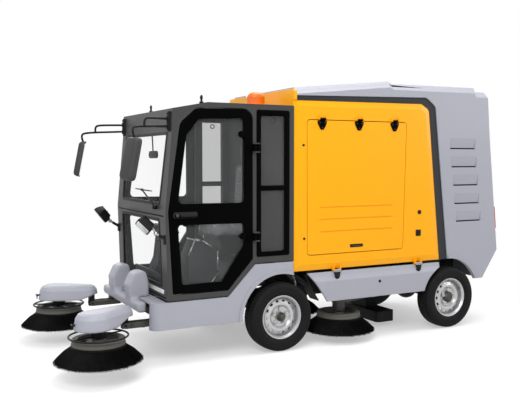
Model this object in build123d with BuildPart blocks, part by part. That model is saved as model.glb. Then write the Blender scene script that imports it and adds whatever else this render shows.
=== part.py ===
# Compact road sweeper with a cab: four wheels, four disc brushes, a tail hopper behind the cab.
# Millimetres. X runs to the rear, Y to the machine's right, Z up from the floor. Every size along X
# is measured from the front axle; kept pieces are shifted so that zero is under the whole's middle.

import os
from math import cos, radians, sin

from build123d import *

os.makedirs("parts", exist_ok=True)

# Driving sizes
wheel_base = 1912
body_half = 644             # half width over the body sides
tail_x = 2566               # furthest point of the tail
wall = 30                   # thickness of body panels
cab_wall = 45               # thickness of cab pillars and rails
gap = 8                     # gap all round a door or lid
fit = 0.3                   # running clearance of a pin in its bore
clear = 6                   # clearance between a moving piece and a fixed one

# Wheels and axles
tyre_radius = 300
tyre_half = 88              # half section width
tread_half = 66
rim_seat = 178              # radius of the bead seat
rim_flange = 190
rim_half = 70               # half width over the flanges
axle_z = tyre_radius
wheel_y = 600               # wheel centre plane
spindle_radius = 20
king_y = 520                # steering pivot
king_radius = 14
steer_boss = 24

# Chassis
rail_in = 280
rail_out = 340
rail_bottom = 400
rail_top = 500
rail_front = -1130
rail_rear = 2300

# Side brushes: the front pair and the middle pair are the same disc
bristle_radius = 342
plate_radius = 204
plate_thick = 22
bristle_drop = 130          # height of the bristles below the plate
front_brush_x = -1608
front_brush_y = 685
front_plate_z = 268         # underside of the plate, raised for driving
mid_brush_x = 722
mid_brush_y = 470
mid_plate_z = 205

front_tip = front_brush_x - bristle_radius
origin_shift = -(front_tip + tail_x) / 2

# Side drawing plane: local x is X, local y is Z, and it faces the machine's left
side = Plane(origin=(0, 0, 0), x_dir=(1, 0, 0), z_dir=(0, -1, 0))


def keep(made, label, at=(0, 0, 0)):
    """Put a finished piece in its place, label it and write its file."""
    placed = made.part.moved(Location((at[0] + origin_shift, at[1], at[2])))
    placed.label = label
    export_step(placed, f"parts/{label}.step")


def keep_pair(made, label, at=(0, 0, 0)):
    """Keep a left piece and its mirror image on the right."""
    keep(made, f"{label}_left", at)
    with BuildPart() as twin:
        mirror(made.part, about=Plane.XZ, mode=Mode.ADD)
    keep(twin, f"{label}_right", (at[0], -at[1], at[2]))


def outline(points, mode=Mode.ADD):
    """Closed polygon face in the current sketch, at its own coordinates."""
    return Polygon(*points, align=None, mode=mode)


def round_rear(radius):
    """Round the two upper rear corners of an outline in the current sketch."""
    fillet(vertices().filter_by_position(Axis.Y, 2100, 2300).sort_by(Axis.X)[-2:], radius)


def block(x, y, z, mode=Mode.ADD):
    """Box given by its (low, high) limits along each axis."""
    with Locations(((x[0] + x[1]) / 2, (y[0] + y[1]) / 2, (z[0] + z[1]) / 2)):
        Box(x[1] - x[0], y[1] - y[0], z[1] - z[0], mode=mode)


def rod(centre, direction, radius, length, mode=Mode.ADD):
    """Cylinder about a point, along a direction."""
    with Locations(Plane(origin=centre, z_dir=direction)):
        Cylinder(radius, length, mode=mode)


def tube(points, radius):
    """Round bar along straight runs, with a ball at each bend."""
    for start, end in zip(points, points[1:]):
        run = Vector(*end) - Vector(*start)
        rod((Vector(*start) + Vector(*end)) / 2, run, radius, run.length)
    with Locations(*points[1:-1]):
        Sphere(radius)


# Wheels: tyre and rim about the wheel's own centre, outer side towards -Y
groove_half = 6             # half width and depth of the groove round the middle of the tread
groove_deep = 9
with BuildPart() as tyre:
    with BuildSketch(Plane.YZ):
        # One side of the section, from the groove's floor over shoulder and sidewall to the bead
        half_section = [(groove_half - 2, tyre_radius - groove_deep), (groove_half, tyre_radius),
                        (tread_half, tyre_radius - 4), (tyre_half - 6, tyre_radius - 21), (tyre_half, 240),
                        (74, rim_flange + 6), (rim_half - 4, rim_flange + 2), (56, rim_seat + fit)]
        outline(half_section + [(-y, z) for y, z in reversed(half_section)])
    revolve(axis=Axis.Y)

slot_count = 14
nut_count = 5
with BuildPart() as rim:
    # Barrel with its flanges, then the dished disc that carries it
    with BuildSketch(Plane.YZ):
        outline([(-rim_half, rim_flange), (-rim_half, rim_flange - 8), (-52, rim_seat - 8), (40, rim_seat - 8),
                 (rim_half, rim_flange - 8), (rim_half, rim_flange), (rim_half - 5, rim_flange),
                 (56, rim_seat), (-56, rim_seat), (5 - rim_half, rim_flange)])
    revolve(axis=Axis.Y)
    with BuildSketch(Plane.YZ):
        outline([(-12, rim_seat - 4), (-34, 150), (-48, 122), (-46, 104), (-30, 88), (-30, spindle_radius + fit),
                 (6, spindle_radius + fit), (6, 44), (-22, 46), (-22, 84), (-38, 106), (-40, 120),
                 (-26, 146), (-4, rim_seat - 4)])
    revolve(axis=Axis.Y)
    with BuildSketch(Plane.XZ.offset(60)):
        with PolarLocations(140, slot_count):
            SlotOverall(30, 17, rotation=90)
    extrude(amount=-60, mode=Mode.SUBTRACT)
    with BuildSketch(Plane.XZ.offset(30)):
        with PolarLocations(66, nut_count):
            RegularPolygon(12, 6)
        Circle(36)
        Circle(spindle_radius + fit, mode=Mode.SUBTRACT)
    extrude(amount=12)

for end, axle_x in (("front", 0), ("rear", wheel_base)):
    keep_pair(tyre, f"tyre_{end}", (axle_x, -wheel_y, axle_z))
    keep_pair(rim, f"rim_{end}", (axle_x, -wheel_y, axle_z))

# Steering knuckle: two eyes on the king pin, a web outboard of the beam's boss, and the spindle
eye_height = 30
boss_half = 30
with BuildPart() as knuckle:
    for up in (1, -1):
        rod((0, -king_y, axle_z + up * (boss_half + 5 + eye_height / 2)), (0, 0, 1), 28, eye_height)
    web = (-king_y - 46, -king_y - steer_boss - clear)
    block((-32, 32), web, (axle_z - 65, axle_z + 65))
    block((-28, 28), (web[0], -king_y), (axle_z + 35, axle_z + 65))
    block((-28, 28), (web[0], -king_y), (axle_z - 65, axle_z - 35))
    rod((0, -king_y, axle_z), (0, 0, 1), king_radius + fit, 140, mode=Mode.SUBTRACT)
    rod((0, (web[0] - wheel_y - 48) / 2, axle_z), (0, 1, 0), spindle_radius, wheel_y + 48 + web[0])
    rod((0, -wheel_y - 54, axle_z), (0, 1, 0), 15, 12)
keep_pair(knuckle, "knuckle")

with BuildPart() as front_axle:
    block((-30, 30), (-king_y, king_y), (axle_z - 30, axle_z + 30))
    for y in (-king_y, king_y):
        rod((0, y, axle_z), (0, 0, 1), steer_boss, 2 * boss_half)
        rod((0, y, axle_z), (0, 0, 1), king_radius, 150)
    for y in (-1, 1):
        block((-60, 60), sorted((y * rail_in, y * rail_out)), (axle_z + 30, rail_bottom))
keep(front_axle, "front_axle")

with BuildPart() as rear_axle:
    rod((wheel_base, 0, axle_z), (0, 1, 0), 42, 2 * (wheel_y - 50))
    rod((wheel_base, 0, axle_z), (0, 1, 0), spindle_radius, 2 * (wheel_y + 48))
    with Locations((wheel_base, 0, axle_z)):
        Sphere(115)
    for y in (-1, 1):
        rod((wheel_base, y * (wheel_y - 56), axle_z), (0, 1, 0), 120, 12)
        block((wheel_base - 60, wheel_base + 60), sorted((y * rail_in, y * rail_out)), (axle_z, rail_bottom))
keep(rear_axle, "rear_axle")

# Cab: side outline, kinked at the crossbar of the windshield
cab_low = 526
cab_seat = 782              # underside of the cab over the front wheels
cab_rear = 130
roof_z = 2126
crossbar_z = 1235
cab_front = -1052
screen_top = (-990, 1900)
cab_outline = [(-1032, cab_low), (cab_front, crossbar_z), screen_top, (-984, 2068), (-680, roof_z),
               (cab_rear, roof_z), (cab_rear, cab_seat), (-249, cab_seat), (-499, cab_low)]
cab_inner_rear = cab_rear - cab_wall
floor_front = -984
floor_thick = 25
# Inside space, open below where the floor pan lies
cab_inside = [(floor_front, cab_low - 40), (-1006, crossbar_z), (-946, 1893), (-944, 2030),
              (-676, roof_z - cab_wall), (cab_inner_rear, roof_z - cab_wall), (cab_inner_rear, cab_low - 40)]
floor_band = [(floor_front, cab_low), (-499, cab_low), (-249, cab_seat), (cab_inner_rear, cab_seat),
              (cab_inner_rear, cab_seat + floor_thick), (-260, cab_seat + floor_thick),
              (-510, cab_low + floor_thick), (floor_front, cab_low + floor_thick)]

# Chassis: two rails, cross members, mounts for cab and body
cross_members = (-470, 380, 1200, rail_rear - 40)
outriggers = (330, 1500)
outrigger_z = (640, 720)
hopper_under = 745          # underside of the hopper floor
arm_pivot = (-1100, 345)    # side brush arm on the chassis, X and Z
lug_y = (480, 530)
pin_radius = 9
mid_pivot = (1180, 350)
tow_bolt_width = 120
tow_bolt_height = 40
tow_bolt_radius = 7
# Mounts on the rails: x, half length, top height
mounts = ((-900, 60, cab_low), (-560, 50, cab_low), (60, 50, cab_seat), (outriggers[0], 30, outrigger_z[1]),
          (outriggers[1], 30, outrigger_z[1]), (2200, 60, hopper_under))
with BuildPart() as chassis:
    for y in (-1, 1):
        block((rail_front, rail_rear), sorted((y * rail_in, y * rail_out)), (rail_bottom, rail_top))
        for x, half, top in mounts:
            block((x - half, x + half), sorted((y * rail_in, y * rail_out)), (rail_top, top))
        # Lug and pin of the side brush arm, and the pin of the middle brush arm
        block((arm_pivot[0] - 24, arm_pivot[0] + 24), sorted((y * lug_y[0], y * lug_y[1])),
              (arm_pivot[1] - 24, rail_bottom + 10))
        rod((arm_pivot[0], y * 505, arm_pivot[1]), (0, 1, 0), pin_radius, 90)
        block((mid_pivot[0] - 30, mid_pivot[0] + 30), sorted((y * rail_in, y * rail_out)), (320, rail_bottom))
        rod((mid_pivot[0], y * 350, mid_pivot[1]), (0, 1, 0), pin_radius, 112)
    block((rail_front, -1070), (-560, 560), (rail_bottom, rail_top - 10))
    for x in cross_members:
        block((x - 30, x + 30), (-rail_in, rail_in), (rail_bottom + 15, rail_top - 15))
    # Tow plate on the rearmost cross member, drilled for four bolts
    block((rail_rear - 12, rail_rear), (-150, 150), (rail_bottom + 5, rail_top - 5))
    with Locations(Plane(origin=(rail_rear, 0, (rail_bottom + rail_top) / 2), z_dir=(1, 0, 0))):
        with GridLocations(tow_bolt_height, tow_bolt_width, 2, 2):
            Cylinder(tow_bolt_radius, 160, mode=Mode.SUBTRACT)
keep(chassis, "chassis")

# Outriggers from the rails to the yellow sides
with BuildPart() as outrigger_set:
    for y in (-1, 1):
        for x in outriggers:
            block((x - 30, x + 30), sorted((y * rail_out, y * (body_half - wall))), outrigger_z)
keep(outrigger_set, "outriggers")

# Mudguards: curved strips behind the front wheels, hung from the front outriggers
guard_thick = 8
guard_y = (480, body_half - 22)
guard_reach = 262
with BuildPart() as mudguards:
    for y in (-guard_y[1], guard_y[0]):
        with BuildSketch(side.offset(y)):
            with BuildLine():
                ThreePointArc((guard_reach, outrigger_z[0]), (318, 530), (400, 398))
                Line((400, 398), (400 + guard_thick, 402))
                ThreePointArc((400 + guard_thick, 402), (326, 534), (guard_reach + 12, outrigger_z[0] - guard_thick))
                Polyline((guard_reach + 12, outrigger_z[0] - guard_thick),
                         (outriggers[0] + 30, outrigger_z[0] - guard_thick),
                         (outriggers[0] + 30, outrigger_z[0]), (guard_reach, outrigger_z[0]))
            make_face()
        extrude(amount=guard_y[1] - guard_y[0])
keep(mudguards, "mudguards")

battery_half = 430
with BuildPart() as battery:
    block((400, 1270), (-battery_half, battery_half), (rail_top, 1020))
keep(battery, "battery_pack")

# Cab doors: outline, panes, and the two hinges on the rear edge
door_rear = -276
door_thick = 40
door_outline = [(-984, 580), (-1020, crossbar_z + 10), (-916, 1950), (-772, 2074), (door_rear, 2080),
                (door_rear, 826), (-503, 580)]
door_corner = 90
upper_glass = [(-944, 1307), (-868, 1860), (-760, 1988), (-354, 2005), (-354, 1300)]
lower_glass = [(-945, 1135), (-352, 1128), (-356, 948), (-555, 650), (-912, 650)]
hinge_x = -262
hinge_y = -body_half - 18
hinge_z = (1010, 1760)
barrel_radius = 14
barrel_half = 30
# Quarter window behind the door: two panes, and the rubber frame that shows round them
quarter_panes = [[(-194, 878), (26, 878), (26, 1396), (-194, 1396)],
                 [(-194, 1443), (26, 1443), (26, 2031), (-194, 2031)]]
quarter_frame = [(-236, 836), (68, 836), (68, 2074), (-236, 2074)]
# Windshield panes: half width and height at bottom, then at top
upper_pane = ((500, 1296), (548, 1880))
lower_pane = ((520, 628), (500, 1180))
glass = 6

# Front drawing plane: local x is Y, local y is Z, and it faces the rear
front = Plane(origin=(0, 0, 0), x_dir=(0, 1, 0), z_dir=(1, 0, 0))


def screen(shape, less=0.0):
    """A windshield pane's outline, given as half width and height at its bottom and top."""
    (low_half, low_z), (high_half, high_z) = shape
    outline([(less - low_half, low_z + less), (low_half - less, low_z + less),
             (high_half - less, high_z - less), (less - high_half, high_z - less)])


with BuildPart() as cab_frame:
    with BuildSketch(side):
        outline(cab_outline)
    extrude(amount=body_half, both=True)
    with BuildSketch(side):
        outline(cab_inside)
    extrude(amount=body_half - cab_wall, both=True, mode=Mode.SUBTRACT)
    with BuildSketch(side):
        outline(door_outline)
        fillet(vertices().sort_by(Axis.Y)[-3:], door_corner)
        offset(amount=gap)
    extrude(amount=body_half + 5, both=True, mode=Mode.SUBTRACT)
    with BuildSketch(side):
        for points in quarter_panes:
            outline(points)
    extrude(amount=body_half + 5, both=True, mode=Mode.SUBTRACT)
    with BuildSketch(front.offset(cab_front - 20)):
        screen(upper_pane)
        screen(lower_pane)
    extrude(amount=140, mode=Mode.SUBTRACT)
    # Hinge pins on both sides, held above and below each barrel
    for y in (-1, 1):
        for z in hinge_z:
            rod((hinge_x, -y * hinge_y, z), (0, 0, 1), 6, 2 * barrel_half + 20)
            for up in (-1, 1):
                cheek = sorted((z + up * (barrel_half + 1), z + up * (barrel_half + 11)))
                block((hinge_x - 10, hinge_x + 46), sorted((y * (body_half - 2), -y * hinge_y + y * 9)), cheek)
keep(cab_frame, "cab_frame")

with BuildPart() as cab_floor:
    with BuildSketch(side):
        outline(floor_band)
    extrude(amount=body_half - cab_wall, both=True)
keep(cab_floor, "cab_floor")


def screen_x(z):
    """Front face of the cab at a height."""
    (x_low, z_low), (x_high, z_high) = cab_outline[0:2] if z < crossbar_z else cab_outline[1:3]
    return x_low + (x_high - x_low) * (z - z_low) / (z_high - z_low)


with BuildPart() as windshield:
    with BuildSketch(side):
        for low, high in ((600, 1200), (1280, 1895)):
            outline([(screen_x(low) + 10, low), (screen_x(high) + 10, high),
                     (screen_x(high) + 10 + glass, high), (screen_x(low) + 10 + glass, low)])
    extrude(amount=body_half, both=True)
    with BuildSketch(front.offset(cab_front - 20)):
        screen(upper_pane, fit)
        screen(lower_pane, fit)
    extrude(amount=140, mode=Mode.INTERSECT)
keep(windshield, "windshield")

with BuildPart() as cab_windows:
    for y in (glass + 16 - body_half, body_half - 16):
        with BuildSketch(side.offset(y)):
            for points in quarter_panes:
                outline(points)
            offset(amount=-fit)
        extrude(amount=glass)
keep(cab_windows, "cab_windows")

with BuildPart() as cab_door:
    with BuildSketch(side.offset(body_half - door_thick)):
        outline(door_outline)
        fillet(vertices().sort_by(Axis.Y)[-3:], door_corner)
    extrude(amount=door_thick)
    with BuildSketch(side.offset(body_half - door_thick - 5)):
        outline(upper_glass)
        fillet(vertices(), 40)
    extrude(amount=door_thick + 10, mode=Mode.SUBTRACT)
    with BuildSketch(side.offset(body_half - door_thick - 5)):
        outline(lower_glass)
        fillet(vertices(), 25)
    extrude(amount=door_thick + 10, mode=Mode.SUBTRACT)
    # Pull handle near the front edge
    block((-972, -790), (-body_half - 22, -body_half - 10), (1195, 1222))
    for x in (-960, -802):
        block((x - 10, x + 10), (-body_half - 14, -body_half + 2), (1198, 1219))
    for z in hinge_z:
        block((hinge_x - 60, hinge_x), (-body_half - 8, -body_half), (z - barrel_half, z + barrel_half))
        rod((hinge_x, hinge_y, z), (0, 0, 1), barrel_radius, 2 * barrel_half)
        rod((hinge_x, hinge_y, z), (0, 0, 1), 6 + fit, 2 * barrel_half + 2, mode=Mode.SUBTRACT)
keep_pair(cab_door, "cab_door")

with BuildPart() as door_glass:
    for points, corner in ((upper_glass, 40), (lower_glass, 25)):
        with BuildSketch(side.offset(body_half - 24)):
            outline(points)
            fillet(vertices(), corner)
            offset(amount=-fit)
        extrude(amount=glass)
keep_pair(door_glass, "door_glass")

# Inside the cab: console with the column, steering wheel, seat
column_foot = Vector(-760, 0, 1000)
column_tilt = 32            # lean of the steering column, from upright
column_axis = Vector(sin(radians(column_tilt)), 0, cos(radians(column_tilt)))
column_length = 250
wheel_hub = column_foot + column_axis * column_length
steering_radius = 185
with BuildPart() as dashboard:
    with BuildSketch(side):
        outline([(-974, cab_low + floor_thick), (-984, 985), (-900, 1075), (-745, 1035), (-725, 985),
                 (-825, 900), (-840, cab_low + floor_thick)])
    extrude(amount=370, both=True)
    rod(column_foot + column_axis * (column_length / 2 - 60), column_axis, 32, column_length)
    rod(column_foot + column_axis * (column_length / 2 - 10), column_axis, 11, column_length + 50)
keep(dashboard, "dashboard")

with BuildPart() as steering_wheel:
    with BuildSketch(Plane.XZ):
        with Locations((steering_radius, 0)):
            Circle(14)
    revolve(axis=Axis.Z)
    with BuildSketch(Plane.XY.offset(-6)):
        Circle(42)
        with PolarLocations(steering_radius / 2, 3, start_angle=60):
            Rectangle(steering_radius, 26)
    extrude(amount=12)
    rod((0, 0, 0), (0, 0, 1), 42, 34)
    rod((0, 0, 0), (0, 0, 1), 11 + fit, 40, mode=Mode.SUBTRACT)
wheel_place = Plane(origin=wheel_hub, x_dir=(cos(radians(column_tilt)), 0, -sin(radians(column_tilt))),
                    z_dir=column_axis)
with BuildPart() as steering_wheel_placed:
    add(wheel_place.location * steering_wheel.part)
keep(steering_wheel_placed, "steering_wheel")

seat_floor = cab_seat + floor_thick
with BuildPart() as seat_base:
    block((-360, 20), (-190, 190), (seat_floor, seat_floor + 150))
    block((-400, 40), (-230, 230), (seat_floor + 150, seat_floor + 170))
keep(seat_base, "seat_base")
cushion_z = seat_floor + 170 + fit
with BuildPart() as seat_cushion:
    block((-450, -50), (-245, 245), (cushion_z, cushion_z + 110))
    fillet(seat_cushion.edges().filter_by(Axis.Z), 60)
    fillet(seat_cushion.faces().sort_by(Axis.Z)[-1].edges(), 30)
keep(seat_cushion, "seat_cushion")
with BuildPart() as seat_back:
    with BuildSketch(side):
        outline([(-48, cushion_z), (-20, 1640), (30, 1640), (60, cushion_z)])
    extrude(amount=230, both=True)
    fillet(seat_back.faces().sort_by(Axis.Z)[-1].edges().filter_by(Axis.X), 60)
    with BuildSketch(side):
        outline([(-30, 1630), (-28, 1850), (20, 1850), (30, 1630)])
    extrude(amount=125, both=True)
    fillet(seat_back.faces().sort_by(Axis.Z)[-1].edges().filter_by(Axis.X), 50)
keep(seat_back, "seat_back")

# Front panel: grey bumper skirt and wings in one moulding, open behind and below
panel_half = body_half + 8
panel_front = -1170
panel_top = 518
panel_skin = 26
arch_radius = 375
with BuildPart() as front_panel:
    with BuildSketch(side):
        outline([(panel_front, 300), (panel_front + 8, panel_top), (-503, panel_top), (-249, cab_seat - 8),
                 (cab_rear - 6, cab_seat - 8), (cab_rear - 6, 300)])
    extrude(amount=panel_half, both=True)
    fillet(front_panel.edges().filter_by(Axis.Y, reverse=True).sort_by(Axis.X)[:2], 70)
    with BuildSketch(side):
        with Locations((0, axle_z)):
            Circle(arch_radius)
        outline([(-arch_radius + 12, 250), (-arch_radius, axle_z), (arch_radius, axle_z), (arch_radius, 250)])
    extrude(amount=panel_half + 5, both=True, mode=Mode.SUBTRACT)
    # Inside: the deck stays as a ledge in front of the cab
    block((panel_front + panel_skin, cab_rear), (panel_skin - panel_half, panel_half - panel_skin),
          (250, panel_top - 14), mode=Mode.SUBTRACT)
    block((-1040, cab_rear), (panel_skin - panel_half, panel_half - panel_skin), (250, cab_seat), mode=Mode.SUBTRACT)
    # Opening for the brush arms across the front
    block((panel_front - 5, panel_front + panel_skin + 5), (-570, 570), (250, panel_top - 14), mode=Mode.SUBTRACT)
    # Flared lip round the front wheel arch
    for offset_y in (panel_half - 4, -panel_half - 8):
        with BuildSketch(side.offset(offset_y)):
            with Locations((0, axle_z)):
                Circle(arch_radius + 30)
                Circle(arch_radius, mode=Mode.SUBTRACT)
            outline([(-430, axle_z + 4), (-430, 740), (cab_rear - 6, 740), (cab_rear - 6, axle_z + 4)],
                    mode=Mode.INTERSECT)
        extrude(amount=12)
keep(front_panel, "front_panel")

# Body sides: yellow panel, dark arch round it, grey shell behind and above
body_low = 680
panel_outline = [(cab_rear, body_low), (1801, body_low), (1649, 2140), (1554, 2194), (cab_rear, 2176)]
arch_outline = [(cab_rear + wall, body_low), (1899, body_low), (1725, 2172), (1608, 2255), (cab_rear + wall, 2217)]
shell_outline = [(cab_rear + wall, 2290), (1180, 2392), (1225, 2372), (2268, 2382), (2284, 2343), (2404, 2343),
                 (2440, 1903), (tail_x, 738), (2369, 458), (1899, 458), (1899, body_low),
                 (cab_rear + wall, body_low)]
access_outline = [(272, 819), (1332, 819), (1364, 2008), (266, 2008)]
access_gap = 6
access_hinge_y = -body_half - 14
access_hinge_z = 2020
access_hinge_x = (417, 816, 1221)
small_barrel = 9
small_pin = 4
small_half = 30
edge_band = 55
edge_depth = 14
skirt_hinge = (-body_half - 18, 668)
skirt_hinge_x = (575, 1515)

with BuildPart() as body_side:
    with BuildSketch(side.offset(body_half - wall)):
        outline(panel_outline)
        round_rear(55)
    extrude(amount=wall)
    outer_face = body_side.faces().sort_by(Axis.Y)[0]
    chamfer(outer_face.edges(), edge_band, edge_depth, reference=outer_face)
    with BuildSketch(side.offset(body_half - wall)):
        outline(access_outline)
        fillet(vertices(), 30)
        offset(amount=access_gap)
    extrude(amount=wall, mode=Mode.SUBTRACT)
    # Hinge pins above the access door
    for x in access_hinge_x:
        rod((x, access_hinge_y, access_hinge_z), (1, 0, 0), small_pin, 2 * small_half + 20)
        for way in (-1, 1):
            cheek = sorted((x + way * (small_half + 1), x + way * (small_half + 9)))
            block(cheek, (access_hinge_y - 7, 2 - body_half), (access_hinge_z - 7, access_hinge_z + 28))
    # Hinge pins under the lower edge, for the skirt
    for x in skirt_hinge_x:
        rod((x, skirt_hinge[0], skirt_hinge[1]), (1, 0, 0), small_pin, 2 * small_half + 20)
        for way in (-1, 1):
            cheek = sorted((x + way * (small_half + 1), x + way * (small_half + 9)))
            block(cheek, (skirt_hinge[0] - 7, 12 - body_half), (skirt_hinge[1] - 6, 714))
keep_pair(body_side, "body_side")

with BuildPart() as access_door:
    with BuildSketch(side.offset(body_half - wall)):
        outline(access_outline)
        fillet(vertices(), 30)
    extrude(amount=wall)
    # Three long creases, and the recess of the flush handle
    with BuildSketch(side.offset(body_half)):
        for z in (1235, 1128, 1018):
            with Locations((802, z)):
                SlotOverall(811, 10)
    extrude(amount=-5, mode=Mode.SUBTRACT)
    block((726, 870), (-body_half - 1, 8 - body_half), (862, 892), mode=Mode.SUBTRACT)
keep_pair(access_door, "access_door")

# Tapered leaf of a hinge, across from its middle
leaf_outline = [(-46, 2004), (-46, 1984), (-28, 1948), (-14, 1926), (14, 1926), (28, 1948), (46, 1984), (46, 2004)]
with BuildPart() as access_hinges:
    for x in access_hinge_x:
        with BuildSketch(side.offset(body_half)):
            outline([(x + across, z) for across, z in leaf_outline])
        extrude(amount=7)
        block((x - small_half, x + small_half), (-body_half - 7, -body_half), (2000, access_hinge_z))
        rod((x, access_hinge_y, access_hinge_z), (1, 0, 0), small_barrel, 2 * small_half)
        rod((x, access_hinge_y, access_hinge_z), (1, 0, 0), small_pin + fit, 2 * small_half + 2, mode=Mode.SUBTRACT)
keep_pair(access_hinges, "access_hinges")

fairing_z = (2177, 2272)
with BuildPart() as body_front:
    block((cab_rear, cab_rear + wall), (wall - body_half, body_half - wall), (body_low, fairing_z[0]))
    block((cab_rear, cab_rear + wall), (-body_half, body_half), fairing_z)
    fillet(body_front.edges().filter_by(Axis.X).sort_by(Axis.Z)[-2:], 30)
keep(body_front, "body_front")

trim_inset = 10
with BuildPart() as trim_arches:
    for y in (body_half - wall - trim_inset, trim_inset - body_half):
        with BuildSketch(side.offset(y)):
            outline(arch_outline)
            round_rear(70)
            with BuildSketch(mode=Mode.SUBTRACT):
                outline(panel_outline)
                round_rear(55)
        extrude(amount=wall)
keep(trim_arches, "trim_arches")

# Grey shell: roof over the machine bay, tail with the hopper, wheel arches
door_half = 555             # half width of the tail door
door_z = (800, 2220)
hopper_floor = 775
tail_wall = 34
hopper_space = [(1925, hopper_floor), (1762, 2190), (1762, 2330), (2236, 2345), (2252, 2306), (2366, 2306),
                (2406, 1895), (2520, 850), (2510, hopper_floor)]
bay_roof = [(cab_rear + wall + 30, 2200), (cab_rear + wall + 30, 2262), (1170, 2360), (1600, 2345), (1700, 2200)]
under_space = [(1850, 400), (2325, 400), (2526, hopper_under - 20), (2526, hopper_under), (1850, hopper_under)]
rear_arch = 385
louvre_starts = [(1915, 1777), (1935, 1597), (1960, 1415), (1979, 1233), (2003, 1056)]
louvre_length = 330
louvre_rise = 105           # height of a scoop above its slot
louvre_slot = 12


def tail_face(z):
    """Outer face of the tail at a height."""
    (x_low, z_low), (x_high, z_high) = ((tail_x, 738), (2440, 1903)) if z < 1903 else ((2440, 1903), (2404, 2343))
    return x_low + (x_high - x_low) * (z - z_low) / (z_high - z_low)


tail_hinge = (tail_face(door_z[1]) + 14, door_z[1] + 10)
tail_hinge_y = (-400, 0, 400)

with BuildPart() as hopper_shell:
    with BuildSketch(side):
        outline(shell_outline)
        with BuildSketch(mode=Mode.SUBTRACT):
            outline(arch_outline)
            round_rear(70)
    extrude(amount=body_half, both=True)
    top_edges = [edge for edge in hopper_shell.edges() if edge.center().Z > 2280
                 and abs(abs(edge.center().Y) - body_half) < 1]
    chamfer(top_edges, 60)
    with BuildSketch(side):
        outline(hopper_space)
    extrude(amount=body_half - wall, both=True, mode=Mode.SUBTRACT)
    with BuildSketch(side):
        outline(bay_roof)
        outline(under_space)
    extrude(amount=body_half - wall, both=True, mode=Mode.SUBTRACT)
    with BuildSketch(side):
        with Locations((wheel_base, axle_z)):
            Circle(rear_arch)
    extrude(amount=body_half + 5, both=True, mode=Mode.SUBTRACT)
    block((2330, 2600), (-door_half - gap, door_half + gap), (door_z[0] - gap, door_z[1] + gap), mode=Mode.SUBTRACT)
    # Louvres: scoops that deepen downwards to an open slot
    for x, z in louvre_starts:
        for y in (-1, 1):
            with BuildSketch(Plane(origin=(x, 0, 0), x_dir=(0, 1, 0), z_dir=(1, 0, 0))):
                outline([(y * (body_half + 1), z + louvre_rise), (y * (body_half + 1), z - louvre_slot),
                         (y * (body_half - 22), z - louvre_slot), (y * (body_half - 22), z),
                         (y * (body_half - 12), z)])
            extrude(amount=louvre_length, mode=Mode.SUBTRACT)
    # Flared lip round the rear wheel arch
    for offset_y in (body_half - 4, -body_half - 12):
        with BuildSketch(side.offset(offset_y)):
            with Locations((wheel_base, axle_z)):
                Circle(rear_arch + 32)
                Circle(rear_arch, mode=Mode.SUBTRACT)
            outline([(1906, 480), (1906, 900), (2400, 900), (2400, 480)], mode=Mode.INTERSECT)
        extrude(amount=16)
    # Hinge pins over the tail door
    for y in tail_hinge_y:
        rod((tail_hinge[0], y, tail_hinge[1]), (0, 1, 0), small_pin, 2 * small_half + 20)
        for way in (-1, 1):
            cheek = sorted((y + way * (small_half + 1), y + way * (small_half + 9)))
            block((tail_face(door_z[1]) - 8, tail_hinge[0] + 7), cheek, (tail_hinge[1] - 4, tail_hinge[1] + 30))
keep(hopper_shell, "hopper_shell")

with BuildPart() as tail_door:
    with BuildSketch(side):
        outline([(tail_face(door_z[0]), door_z[0]), (2440, 1903), (tail_face(door_z[1]), door_z[1]),
                 (tail_face(door_z[1]) - wall, door_z[1]), (2440 - wall, 1900),
                 (tail_face(door_z[0]) - wall, door_z[0])])
    extrude(amount=door_half, both=True)
    for y in tail_hinge_y:
        block((tail_face(door_z[1]) - 2, tail_hinge[0]), (y - small_half, y + small_half),
              (door_z[1] - 70, door_z[1]))
        rod((tail_hinge[0], y, tail_hinge[1]), (0, 1, 0), small_barrel, 2 * small_half)
        block((tail_face(door_z[1]) + 6, tail_hinge[0]), (y - small_half, y + small_half),
              (door_z[1] - 70, tail_hinge[1]))
        rod((tail_hinge[0], y, tail_hinge[1]), (0, 1, 0), small_pin + fit, 2 * small_half + 2, mode=Mode.SUBTRACT)
keep(tail_door, "tail_door")

with BuildPart() as tail_lamps:
    with BuildSketch(side):
        outline([(tail_face(z) + out, z) for z, out in ((960, 0), (1180, 0), (1180, 16), (960, 16))])
    extrude(amount=body_half - 6, both=True)
    block((2300, 2700), (-door_half - gap - 6, door_half + gap + 6), (900, 1300), mode=Mode.SUBTRACT)
keep(tail_lamps, "tail_lamps")

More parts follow.
